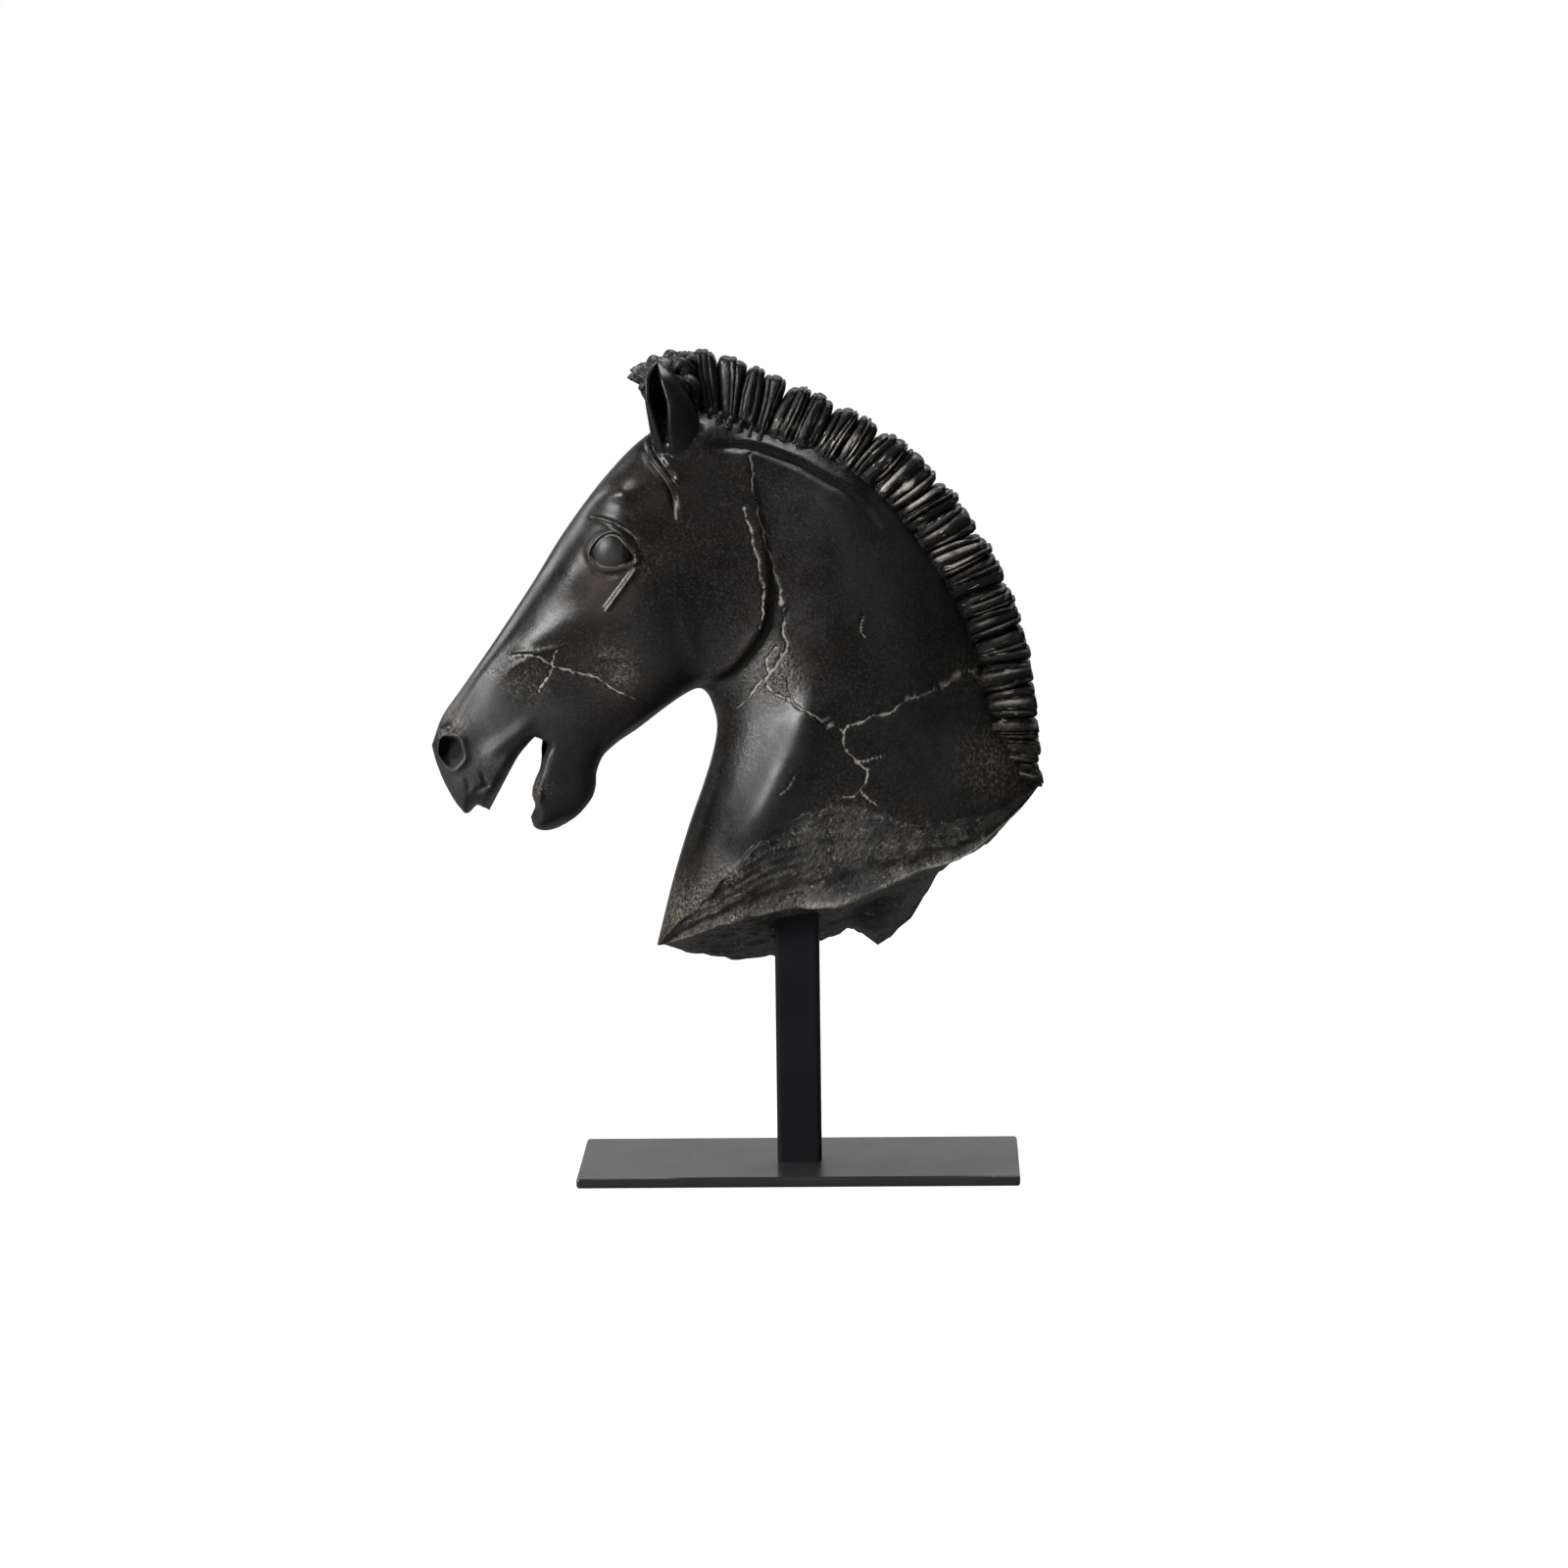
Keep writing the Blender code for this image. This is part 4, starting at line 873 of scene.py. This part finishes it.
def lock_partings():
    """Where locks part and how deep: the deep partings, with shallow ones between."""
    places = []
    for (start, depth), (end, _) in zip(DEEP_PARTINGS[:-1], DEEP_PARTINGS[1:]):
        count = max(1, round((end - start) / LOCK_SPAN))
        places.append((start, depth))
        for lock in range(1, count):
            share = (lock + 0.13 * math.sin(7 * lock + 9 * start)) / count
            shallow = SHALLOW_PARTING * (1 + 0.5 * math.sin(5 * lock + 3 * start))
            places.append((start + (end - start) * share, shallow))
    return np.array(places + [DEEP_PARTINGS[-1]])


def ring_faces(shape, flip=False, capped=True):
    """Faces over a grid of points whose rows close to rings, with both ends capped or not."""
    number = numbered(*shape)
    faces = grid_faces(np.hstack([number, number[:, :1]]), flip).tolist()
    return faces + [number[0].tolist(), number[-1][::-1].tolist()] if capped else faces


def mane_surface(per_strand, rows):
    """Points, faces and marks of the mane.

    Strands stand side by side along the crest, two to five to a lock, with u from -1 to 1
    across each. A section's loop runs up the near side, over the tips and down the far side.
    Its half thickness narrows on the way up, and gains the strand's half round
    (1 - u^2)^(1/2) and the lock's own round 1 - q^2, less the parting |q|^10, with q from -1
    to 1 across the lock. Locks lean and bend along the crest on their way up. Pale paste lies in
    a streak on the upper flank of some strands, the flank towards the light, where it is also a
    painted highlight. The marks are what the finish reads: paste with that painted highlight,
    the dark outer part, how streaked it is, and the way along the crest and up the hair.
    """
    partings = lock_partings()
    spans = np.diff(partings[:, 0])
    counts = np.clip(np.round(spans * SECTION_LENGTH / STRAND_WIDTH), 2, 6).astype(int)
    lock = np.repeat(np.arange(len(spans)), counts)
    order = np.arange(len(lock)) - np.repeat(np.cumsum(counts) - counts, counts)
    strand = np.append(np.repeat(np.arange(len(lock)), per_strand), len(lock) - 1)
    u = np.append(np.tile(-np.cos(np.pi * np.arange(per_strand) / per_strand), len(lock)), 1.0)
    lock, order = lock[strand], order[strand]
    share = (order + (u + 1) / 2) / counts[lock]
    share = share + 0.1 * np.sin(np.pi * share) * np.sin(2 * np.pi * share + 2.1 * lock)
    sections = (partings[lock, 0] + spans[lock] * share)[:, None]
    q = (2 * share - 1)[:, None]
    depth = np.where(q < 0, partings[lock, 1][:, None], partings[lock + 1, 1][:, None])
    loop = np.linspace(-1, 1, rows)[None]
    rise = np.clip(1.22 * (1 - np.abs(loop) ** 2.2), 0, 1)
    turned = np.sign(loop) * np.clip(np.abs(loop) * 2.4, 0, 1) ** 0.55
    swing = 0.045 * np.sin(9 * sections) * rise
    swing = swing + 0.03 * np.sin(13 * sections + np.sign(loop)) * np.sin(np.pi * rise)
    ends = smooth_step(sections[0], sections[0] + 0.5, sections)
    ends = ends * smooth_step(sections[-1], sections[-1] - 0.5, sections)
    swayed = sections + swing * ends
    root, tip = through(MANE_ROOTS, swayed), through(MANE_TIPS, swayed)
    out = tip - root
    reach = np.linalg.norm(out, axis=2)
    out /= reach[..., None]
    root = root - MANE_ROOT_SINK * out
    dome = np.sqrt(np.clip(1 - u * u, 0, 1))[:, None]
    number = strand[:, None]
    bulge, streak = np.moveaxis(through(STRANDS_ALONG, sections), -1, 0)
    starts = 0.25 + 0.06 * np.sin(2.3 * number) + 0.045 * np.sin(5.1 * number)
    starts = starts + 0.07 * smooth_step(12.2, 13.2, sections)
    strand_round = bulge * STRAND_BULGE * (1 + 0.4 * np.sin(3.7 * number)) * dome
    strand_round = strand_round * rounded(rise - starts, 0.2)
    strand_round = strand_round * (1 - 0.5 * smooth_step(0.7, 1, rise))
    lock_round = (1.6 * (1 - q * q) - 3.4 * np.abs(q) ** 10 - 1.8) * smooth_step(0.1, 0.3, rise)
    half = MANE_ROOT_HALF + (MANE_TIP_HALF - MANE_ROOT_HALF) * rise + lock_round + strand_round
    lock = lock[:, None]
    tips = 0.9 * np.sin(7.1 * lock) + q * (0.7 + 1.1 * np.sin(3.3 * lock))
    tips = tips - depth * np.abs(q) ** 8 - 1.1 * q * q
    tips = tips - 1.6 * bulge * (1 - dome) + 0.6 * np.sin(1.9 * number)
    length = reach + MANE_ROOT_SINK + tips * smooth_step(0.5, 1, rise)
    x = root[..., 0] + rise * length * out[..., 0]
    z = root[..., 1] + rise * length * out[..., 1]
    paste_and_highlight = streak * (0.3 + 1.1 * np.abs(np.sin(12.9 * number + 1)))
    # Painted highlight: the paste streak lies on the strand's flank towards the light.
    paste_and_highlight = paste_and_highlight * bell(u[:, None] + 0.3, 0.26)
    paste_and_highlight = paste_and_highlight * smooth_step(starts + 0.02, starts + 0.12, rise)
    paste_and_highlight = paste_and_highlight * smooth_step(1.0, 0.65, rise + 0.14 * np.sin(4.7 * number))
    marks = {"paste_and_highlight": paste_and_highlight, "dull": smooth_step(0.5, 0.85, rise) + 0 * x, "streak": streak + 0 * x,
             "comb": sections * SECTION_LENGTH * MM + 0 * x, "rise": rise * length * MM}
    points = np.stack([x, half * turned, z], axis=-1).reshape(-1, 3)
    faces = ring_faces(x.shape, True)
    return points, faces, {name: values.ravel() for name, values in marks.items()}


def hair_part(name, points, faces, marks):
    """Closed object of hair, or of skin where the marks say so, for the cast to be made of."""
    mesh = bpy.data.meshes.new(name)
    mesh.from_pydata(points * MM, [], faces)
    add_marks(mesh, {"hair": 1.0, **marks})
    tidy_mesh(mesh)
    return link_new(name, mesh)


mane = hair_part("mane_cast", *mane_surface(per_strand=6, rows=34))


# Forelock: the first locks of the mane, combed forward over the poll in short curls that
# end in a beak before the forehead, with small beads of hair beside them at the roots.
TUFT_TIPS = [(-91, 452.6), (-89.6, 456.8)]
TUFT_ROOT = (-68, 461)
TUFT_LANES = (0, 5, -5, 10, -10)
LOBE_ROWS = [(-84, 459.6), (-78, 462.2), (-71.5, 464), (-65, 465), (-58.5, 465.3)]
LOBE_LANES = [(0, 0), (7, 1), (-7, 1), (13, 4.5), (-13, 4.5), (16.5, 10.5), (-16.5, 10.5)]
LOBE_LENGTH = 17
LOBE_WIDTH = 3.9
TUFT_WIDTH = 3.6
FORELOCK_CORE = ((-69, 0, 449), (15.5, 15, 14.5))
BEAD_ROOTS = [(-64.5, 454.5), (-60, 452.5), (-57, 449), (-54.5, 444.5), (-53, 439.5),
              (-49.5, 434.5), (-45, 430.5), (-39.5, 428.5), (-34, 426), (-28.5, 423.5),
              (-22.5, 421), (-17, 418)]
BEAD_WIDTH = 1.9
BEAD_DEPTH = 16.3


def curl(start, end, bulge, width, strands, twist, around=12, along=10):
    """Points, faces and paste of one curl: a tube along start + t (end - start)
    + 4t(1-t) bulge, as thick as width (1 - t^3)^(1/2), grooved into strands that twist on
    the way, with paste on its tip."""
    t = np.linspace(0, 1, along)[:, None, None]
    turned = np.linspace(0, 2 * np.pi, around, endpoint=False)[None, :, None]
    start, end, bulge = (np.array(part, dtype=float) for part in (start, end, bulge))
    heading = (end - start) / np.linalg.norm(end - start)
    side = np.cross(heading, (0.05, 0.1, 1.0))
    side /= np.linalg.norm(side)
    up = np.cross(side, heading)
    groove = 0.8 + 0.26 * np.abs(np.sin(0.5 * strands * turned + twist * t))
    thick = width * np.sqrt(np.clip(1 - t ** 3, 0.01, 1))
    thick = thick * (0.55 + 0.45 * smooth_step(0, 0.35, t)) * groove
    centre = start + t * (end - start) + 4 * t * (1 - t) * bulge
    points = centre + thick * (np.cos(turned) * side + np.sin(turned) * up)
    faces = ring_faces((along, around))
    paste_and_highlight = smooth_step(0.6, 0.95, t + 0.3 * np.sin(turned + 4 * twist))
    paste_and_highlight = (0.32 + 0.24 * math.sin(9 * twist)) * paste_and_highlight
    return points.reshape(-1, 3), faces, paste_and_highlight.ravel()


curls = bpy.data.collections.new("curls")
bpy.context.scene.collection.children.link(curls)


def add_curl(name, *shape):
    """Curl as an object of the group that is joined to the mane."""
    points, faces, paste_and_highlight = curl(*shape)
    made = hair_part(name, points, faces, {"paste_and_highlight": paste_and_highlight})
    bpy.context.scene.collection.objects.unlink(made)
    curls.objects.link(made)


for row, (x, z) in enumerate(TUFT_TIPS):
    for lane, y in enumerate(TUFT_LANES):
        swing = math.sin(2.9 * row + 1.7 * lane)
        root = (TUFT_ROOT[0], 1.1 * y, TUFT_ROOT[1] - 0.25 * abs(y))
        tip = (x + 0.35 * abs(y) + 0.5 * swing, y + 1.2 * swing, z - 0.1 * abs(y))
        add_curl(f"tuft_{row}_{lane}", root, tip, (0, 0.1 * y, -1 - swing), TUFT_WIDTH, 2, swing)
for row, (x, z) in enumerate(LOBE_ROWS):
    for lane, (y, drop) in enumerate(LOBE_LANES):
        swing = math.sin(3.7 * row + 2.3 * lane)
        turn = math.sin(5.3 * row + 1.9 * lane)
        tip = (x - 1.5 + 1.6 * swing, y + 1.2 * turn, z - drop + 0.8 * turn)
        root = (x + LOBE_LENGTH * (0.5 + 0.2 * swing), 0.8 * y,
                z - drop - LOBE_LENGTH * (0.45 + 0.25 * turn))
        width = LOBE_WIDTH * (1 + 0.25 * math.sin(7.1 * row + 3.1 * lane))
        add_curl(f"lobe_{row}_{lane}", root, tip, (1.5 * turn, 0.1 * y, 1.8 + swing), width, 3,
                 2 * swing)
for number, (x, z) in enumerate(BEAD_ROOTS):
    for side in (-1, 1):
        depth = BEAD_DEPTH + 0.6 * math.sin(4 * number)
        width = BEAD_WIDTH * (1 + 0.3 * math.sin(5 * number + side))
        add_curl(f"bead_{number}_{side}", (x + 1.5, side * (depth - 2.5), z + 6),
                 (x - 0.3, side * depth, z - 0.5), (0, side * 0.8, 0), width, 2, 1.0)

lift, turned = np.meshgrid(np.linspace(-np.pi / 2, np.pi / 2, 20),
                           np.linspace(0, 2 * np.pi, 32, endpoint=False), indexing="ij")
core_middle, core_halves = FORELOCK_CORE
core_points = np.array(core_middle) + np.array(core_halves) * np.stack(
    [np.cos(lift) * np.cos(turned), np.cos(lift) * np.sin(turned), np.sin(lift)], axis=-1)
forelock = hair_part("forelock_cast", core_points.reshape(-1, 3),
                     ring_faces(lift.shape, True, capped=False), {})


# Ears: two upright leaves beside the poll, cupped and open outwards and a little forwards,
# with a rolled rim. The curls hide their tips. They are cast in one with the head.

# Share of the ear's height, then x, y and z of the middle, and the half sizes
EAR_AXIS = [(0, -54, 12, 392), (0.3, -60.5, 19.5, 413), (0.6, -66, 22, 437),
            (0.85, -70.5, 21.5, 453), (1, -73, 19, 463)]
EAR_SIZE = [(0, 17, 9), (0.25, 15, 9), (0.5, 14.2, 9.8), (0.75, 11.5, 8.8), (0.92, 6.5, 6),
            (1, 0.8, 0.8)]
EAR_FACES = math.radians(243)
EAR_WALL = 2.6
EAR_CUP_START = 0.34


def ear_surface(side, around, high):
    """Points and faces of one ear.

    A ring runs round the back along an ellipse and returns inside it, a wall further in.
    Below the cup the way back lies on the ellipse's own front instead, so the ring is full.
    """
    rise = np.linspace(0, 1, high)
    middle, size = through(EAR_AXIS, rise), through(EAR_SIZE, rise)
    cupped = smooth_step(EAR_CUP_START, EAR_CUP_START + 0.2, rise)[:, None]
    slit = np.radians(8 + 18 * smooth_step(0.36, 0.7, rise))[:, None]
    way = np.linspace(0, 1, around)[None]
    back = EAR_FACES + slit + way * (2 * np.pi - 2 * slit)
    rim = 1 + 0.1 * bell(way, 0.06) + 0.1 * bell(1 - way, 0.06)
    front = EAR_FACES - slit + 2 * slit * way[:, 1:-1]
    inside = EAR_FACES - slit - way[:, 1:-1] * (2 * np.pi - 2 * slit)
    wall = EAR_WALL * (1 + 0.35 * (1 - cupped)) / size[:, 1:]

    def ring(angle, scale):
        return np.stack([size[:, :1] * scale * np.cos(angle), size[:, 1:] * scale * np.sin(angle)],
                        axis=-1)

    hollow = ring(inside, np.clip(1 - wall, 0.05, 1))
    inner = (1 - cupped[..., None]) * ring(front, 1.0) + cupped[..., None] * hollow
    loop = np.concatenate([ring(back, rim), inner], axis=1)
    x = middle[:, :1] + loop[..., 0]
    y = middle[:, 1:2] - loop[..., 1]
    z = middle[:, 2:] + 0 * x
    points = np.stack([x, side * y, z], axis=-1).reshape(-1, 3)
    return points, ring_faces(x.shape, side > 0)


ears = [hair_part("ear_cast", *ear_surface(side, around=34, high=40), {"hair": 0.5, "dull": 1.0})
        for side in (-1, 1)]


# The cast as one: hair and ears joined to the head. Satin near-black paint, blue in places
# and brown in others, with pale gold paste left in cracks, folds and between strands.
INK_BLACK = (0.0035, 0.0036, 0.0046)
BROWN_BLACK = (0.0070, 0.0058, 0.0054)
GRAIN_BROWN = (0.021, 0.019, 0.017)
FLECK_BROWN = (0.040, 0.034, 0.029)
DARK_AND_SHADE_BLACK = (0.003, 0.003, 0.003)
HAIR_BLACK = (0.003, 0.003, 0.0035)
NOSTRIL_SHADE_BLACK = (0.001, 0.001, 0.001)
WORN_GREY_AND_HIGHLIGHT = (0.066, 0.067, 0.074)
WORN_BROWN = (0.085, 0.068, 0.055)
PALE_PASTE = (0.36, 0.335, 0.285)
BRIGHT_PASTE_AND_HIGHLIGHT = (0.62, 0.585, 0.51)
GOLD_DUST = (0.22, 0.185, 0.12)
BREAK_DARK = (0.040, 0.039, 0.040)
BREAK_PALE = (0.115, 0.109, 0.10)
BREAK_WORN_AND_HIGHLIGHT = (0.42, 0.40, 0.36)
BREAK_BLUE = (0.036, 0.036, 0.041)
BREAK_PIT = (0.008, 0.008, 0.008)
BREAK_CHIP = (0.36, 0.33, 0.27)
# Dusty and worn places on the drawing, some grey ones also painted highlight, with strength and spread
DUSTY_PLACES = [((-98, 293), 0.9, 12), ((-165, 232), 0.5, 14), ((-150, 284), 0.6, 13),
                ((-146, 225), 0.9, 8), ((-66, 150), 1.0, 20), ((28, 206), 0.8, 14),
                ((66, 190), 0.9, 16), ((112, 240), 0.9, 20), ((100, 285), 0.6, 13),
                ((-10, 290), 1.0, 12), ((-84, 354), 0.6, 9), ((-30, 250), 0.12, 16),
                ((-190, 262), 0.4, 10), ((-34, 160), 0.8, 16), ((2, 164), 0.9, 14)]
BROWN_PLACES = [((-108, 338), 0.8, 17), ((-96, 290), 0.35, 16), ((-62, 172), 0.3, 20),
                ((-66, 390), 0.25, 14)]
# Grey places: worn grey paint, and on the neck's front ridge and the eyeball also a painted highlight,
# paler grey where the light falls.
GREY_AND_HIGHLIGHT_PLACES = [((-16, 222), 0.55, 17), ((-4, 250), 0.45, 14), ((85, 250), 0.3, 38),
               ((53, 360), 0.25, 34), ((-118, 228), 0.3, 20), ((132, 272), 0.2, 30),
               ((-176, 276), 0.6, 18), ((-170, 248), 0.8, 24), ((-185, 228), 0.5, 14),
               ((-126, 222), 0.35, 20), ((-99, 359), 0.6, 8), ((-135, 262), 0.3, 20),
               ((14, 388), 0.2, 16), ((-70, 300), 0.2, 22)]


def join(target, parts, collection=None):
    """Union modifiers on the target for each part, and for all the objects of a collection."""
    for part in parts:
        step = target.modifiers.new(part.name, "BOOLEAN")
        step.operation, step.solver, step.object = "UNION", "MANIFOLD", part
    if collection:
        step = target.modifiers.new("curls", "BOOLEAN")
        step.operation, step.solver = "UNION", "MANIFOLD"
        step.operand_type, step.collection = "COLLECTION", collection


def evaluated(made):
    """Mesh of an object with its modifiers applied."""
    graph = bpy.context.evaluated_depsgraph_get()
    return bpy.data.meshes.new_from_object(made.evaluated_get(graph), depsgraph=graph)


def drop_loose_bits(mesh):
    """Remove all that isn't linked to the mesh's largest part. Each point takes the lowest
    number among its neighbours, over and over, until every linked part shares one."""
    first, second = edge_ends(mesh).T
    part, before = np.arange(len(mesh.vertices)), None
    while before is None or (part != before).any():
        before = part.copy()
        lowest = np.minimum(part[first], part[second])
        np.minimum.at(part, first, lowest)
        np.minimum.at(part, second, lowest)
        part = part[part]
    loose = np.flatnonzero(part != np.bincount(part).argmax())
    work = bmesh.new()
    work.from_mesh(mesh)
    work.verts.ensure_lookup_table()
    bmesh.ops.delete(work, geom=[work.verts[number] for number in loose.tolist()], context="VERTS")
    work.to_mesh(mesh)
    work.free()


join(forelock, [mane] + ears, curls)
join(cast, [forelock])
joined = evaluated(cast)
for tool in [cast, mane, forelock] + ears + list(curls.objects):
    bpy.data.objects.remove(tool)
bpy.data.collections.remove(curls)
tidy_mesh(joined)
drop_loose_bits(joined)
joined.name = "horse_head_cast"
joined.shade_smooth()


def surface_bend(mesh):
    """How sharply the surface bends at each point, in 1/mm: above 0 on ridges, below in
    grooves. It is the mean of 2 n.(p - q) / |p - q|^2 over the neighbours q, evened out."""
    points, normals = read_points(mesh) / MM, read_points(mesh, "normal")
    first, second = edge_ends(mesh).T
    step = points[first] - points[second]
    span = np.maximum((step ** 2).sum(axis=1), 0.04)

    def gathered(at_first, at_second):
        return (np.bincount(first, at_first, len(points))
                + np.bincount(second, at_second, len(points)))

    count = gathered(None, None)
    bend = gathered(2 * (normals[first] * step).sum(axis=1) / span,
                    -2 * (normals[second] * step).sum(axis=1) / span) / count
    bend = np.clip(bend, -1.5, 1.5)
    for _ in range(2):
        bend = 0.5 * bend + 0.5 * gathered(bend[second], bend[first]) / count
    return bend


# Marks of the joined mesh; worn, dusty and painted-highlight places are half as strong on the far side
add_attribute(joined, "bend", surface_bend(joined))
places = read_points(joined) / MM
on_side = np.where(places[:, 1] > 5, 0.5, 1)
for name, marks in (("brown", BROWN_PLACES), ("grey_and_highlight", GREY_AND_HIGHLIGHT_PLACES), ("dust", DUSTY_PLACES)):
    add_attribute(joined, name, marked(places[:, 0], places[:, 2], marks) * on_side)
# Painted shade in the nostril: its inside is painted near black and made rougher, where it lies in shade.
in_hole = np.hypot(places[:, 0] - NOSTRIL[0], places[:, 2] - NOSTRIL[1]) / NOSTRIL_HOLE
add_attribute(joined, "nostril_shade", smooth_step(1.05, 0.7, in_hole))

cast_finish, tree, shader, place = new_finish("cast resin, black with pale gold paste")


def attribute(name):
    """Number that the mesh carries at each point."""
    node = tree.nodes.new("ShaderNodeAttribute")
    node.attribute_name = name
    return node.outputs["Fac"]


def chained(operation, *values):
    """Sum, product or other operation over values, two at a time."""
    result = values[0]
    for value in values[1:]:
        node = tree.nodes.new("ShaderNodeMath")
        node.operation = operation
        feed(tree, node.inputs[0], result)
        feed(tree, node.inputs[1], value)
        result = node.outputs[0]
    return result


waves = partial(noise, tree, place)
step = partial(spread, tree)
times = partial(chained, "MULTIPLY")
most = partial(chained, "MAXIMUM")


def cover(under, over, *shares):
    """Colour that covers another by the product of the shares."""
    return blend(tree, times(*shares), under, over)


clouds = waves(16.0, 6.0, 0.6, 0.4)
mottle = waves(70.0, 5.0, 0.65)
grain = waves(420.0, 4.0, 0.6)
patchy = step(waves(110.0, 4.0, 0.7), 0.45, 0.6)
bend, hair, dull, streak, paste_and_highlight_level, broken, dust, grey_and_highlight, nostril_shade = (attribute(name) for name in (
    "bend", "hair", "dull", "streak", "paste_and_highlight", "broken", "dust", "grey_and_highlight", "nostril_shade"))
is_mane = step(attribute("comb"), 0.05, 0.2)

# Painted skin and hair
skin = cover(INK_BLACK, BROWN_BLACK, step(clouds, 0.42, 0.62))
# Worn brown, and worn grey that is also painted highlight on the neck ridge and the eyeball.
for worn, worn_colour in ((attribute("brown"), WORN_BROWN), (grey_and_highlight, WORN_GREY_AND_HIGHLIGHT)):
    skin = cover(skin, worn_colour, worn, step(mottle, 0.3, 0.65, 0.45, 1.0))
skin = cover(skin, GRAIN_BROWN, step(grain, 0.5, 0.7, 0.0, 0.45))
skin = cover(skin, FLECK_BROWN, step(waves(850.0, 3.0, 0.6), 0.5, 0.64, 0.0, 0.8))
# Painted shade: darker paint on the skin's shaded places; the mane's outer part and the ears are darkened
# by the same mark.
skin = cover(skin, DARK_AND_SHADE_BLACK, dull, 0.7)
skin = cover(skin, HAIR_BLACK, hair, 0.6)

# Paste in folds and cracks, in streaks along the hair, on its worn ridges, and as specks; the
# marked paste also holds the painted highlights on the hair's lit flank and the break's lip
in_folds = times(step(bend, -0.16, -0.42), patchy, step(hair, 0, 1, 0.55, 0.0),
                 step(dull, 0.0, 0.8, 1.0, 0.2))
in_cracks = most(times(step(paste_and_highlight_level, 0.25, 0.85), step(mottle, 0.38, 0.58, 0.3, 0.95)),
                 step(paste_and_highlight_level, 0.8, 1.3))
combed = tree.nodes.new("ShaderNodeCombineXYZ")
feed(tree, combed.inputs[0], attribute("comb"))
feed(tree, combed.inputs[1], times(attribute("rise"), 0.13))
fine_hair = noise(tree, combed.outputs[0], 760.0, 3.0, 0.6, 0.4)
streaks = times(step(fine_hair, 0.57, 0.62), step(waves(95.0, 3.0, 0.6), 0.45, 0.53), streak,
                step(dull, 0, 1, 0.9, 0.15))
worn_hair = times(step(bend, 0.12, 0.4), is_mane, step(waves(190.0, 3.0, 0.6), 0.5, 0.62, 0.0, 0.35),
                  step(streak, 0.4, 0.9))
specks = times(step(waves(620.0, 3.0, 0.6), 0.66, 0.72), step(clouds, 0.5, 0.6, 0.0, 0.2))
paste_and_highlight = times(most(in_folds, in_cracks, specks, worn_hair, chained("MINIMUM", streaks, 1.0)),
              step(waves(1500.0, 2.0, 0.5), 0.3, 0.55, 0.45, 1.0))

# Bare cast of the break, with pits and chips, and its raised edges paler, worn and also painted highlight
bare = cover(BREAK_DARK, BREAK_PALE, step(mottle, 0.38, 0.62))
# Raised edges of the break paler: wear and painted highlight.
bare = cover(bare, BREAK_WORN_AND_HIGHLIGHT, step(bend, 0.05, 0.35), step(grain, 0.35, 0.6, 0.25, 1.0))
bare = cover(bare, BREAK_BLUE, step(clouds, 0.5, 0.6, 0.0, 0.85))
chips = waves(330.0, 4.0, 0.7)
bare = cover(bare, BREAK_PIT, step(chips, 0.47, 0.39), patchy)
bare = cover(bare, BREAK_CHIP, step(chips, 0.55, 0.64), patchy)

colour = cover(skin, bare, broken)
colour = cover(colour, GOLD_DUST, dust, step(waves(520.0, 5.0, 0.72), 0.46, 0.66))
# Brighter paste where the marked paste is thick and in the hair streaks; on the hair's lit flank it is
# painted highlight.
bright = most(step(paste_and_highlight_level, 0.6, 1.3), streaks)
colour = cover(colour, cover(PALE_PASTE, BRIGHT_PASTE_AND_HIGHLIGHT, bright), paste_and_highlight)
# The nostril's inside is painted near black: painted shade.
feed(tree, shader["Base Color"], cover(colour, NOSTRIL_SHADE_BLACK, nostril_shade))

# Gloss and bumps
shader["Specular IOR Level"].default_value = 0.4
gloss = step(mottle, 0.3, 0.7, 0.30, 0.42)
for value, change in ((broken, 0.2), (nostril_shade, 0.4), (grey_and_highlight, 0.2), (hair, 0.14), (dull, -0.1),
                      (paste_and_highlight, 0.15)):
    gloss = chained("ADD", gloss, times(value, change))
feed(tree, shader["Roughness"], gloss)
uneven = most(broken, times(dust, 0.5))
normal = None
for height, depth, strength in ((mottle, 0.0006, 0.3), (grain, 0.0002, 0.5),
                                (times(uneven, grain), 0.003, 0.9),
                                (times(fine_hair, is_mane), 0.0011, 0.7)):
    normal = raised(tree, height, depth, normal, strength)
feed(tree, shader["Normal"], normal)

joined.materials.clear()
joined.materials.append(cast_finish)
head = link_new("horse_head_cast", joined)
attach(head, "root")
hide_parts("horse_head")
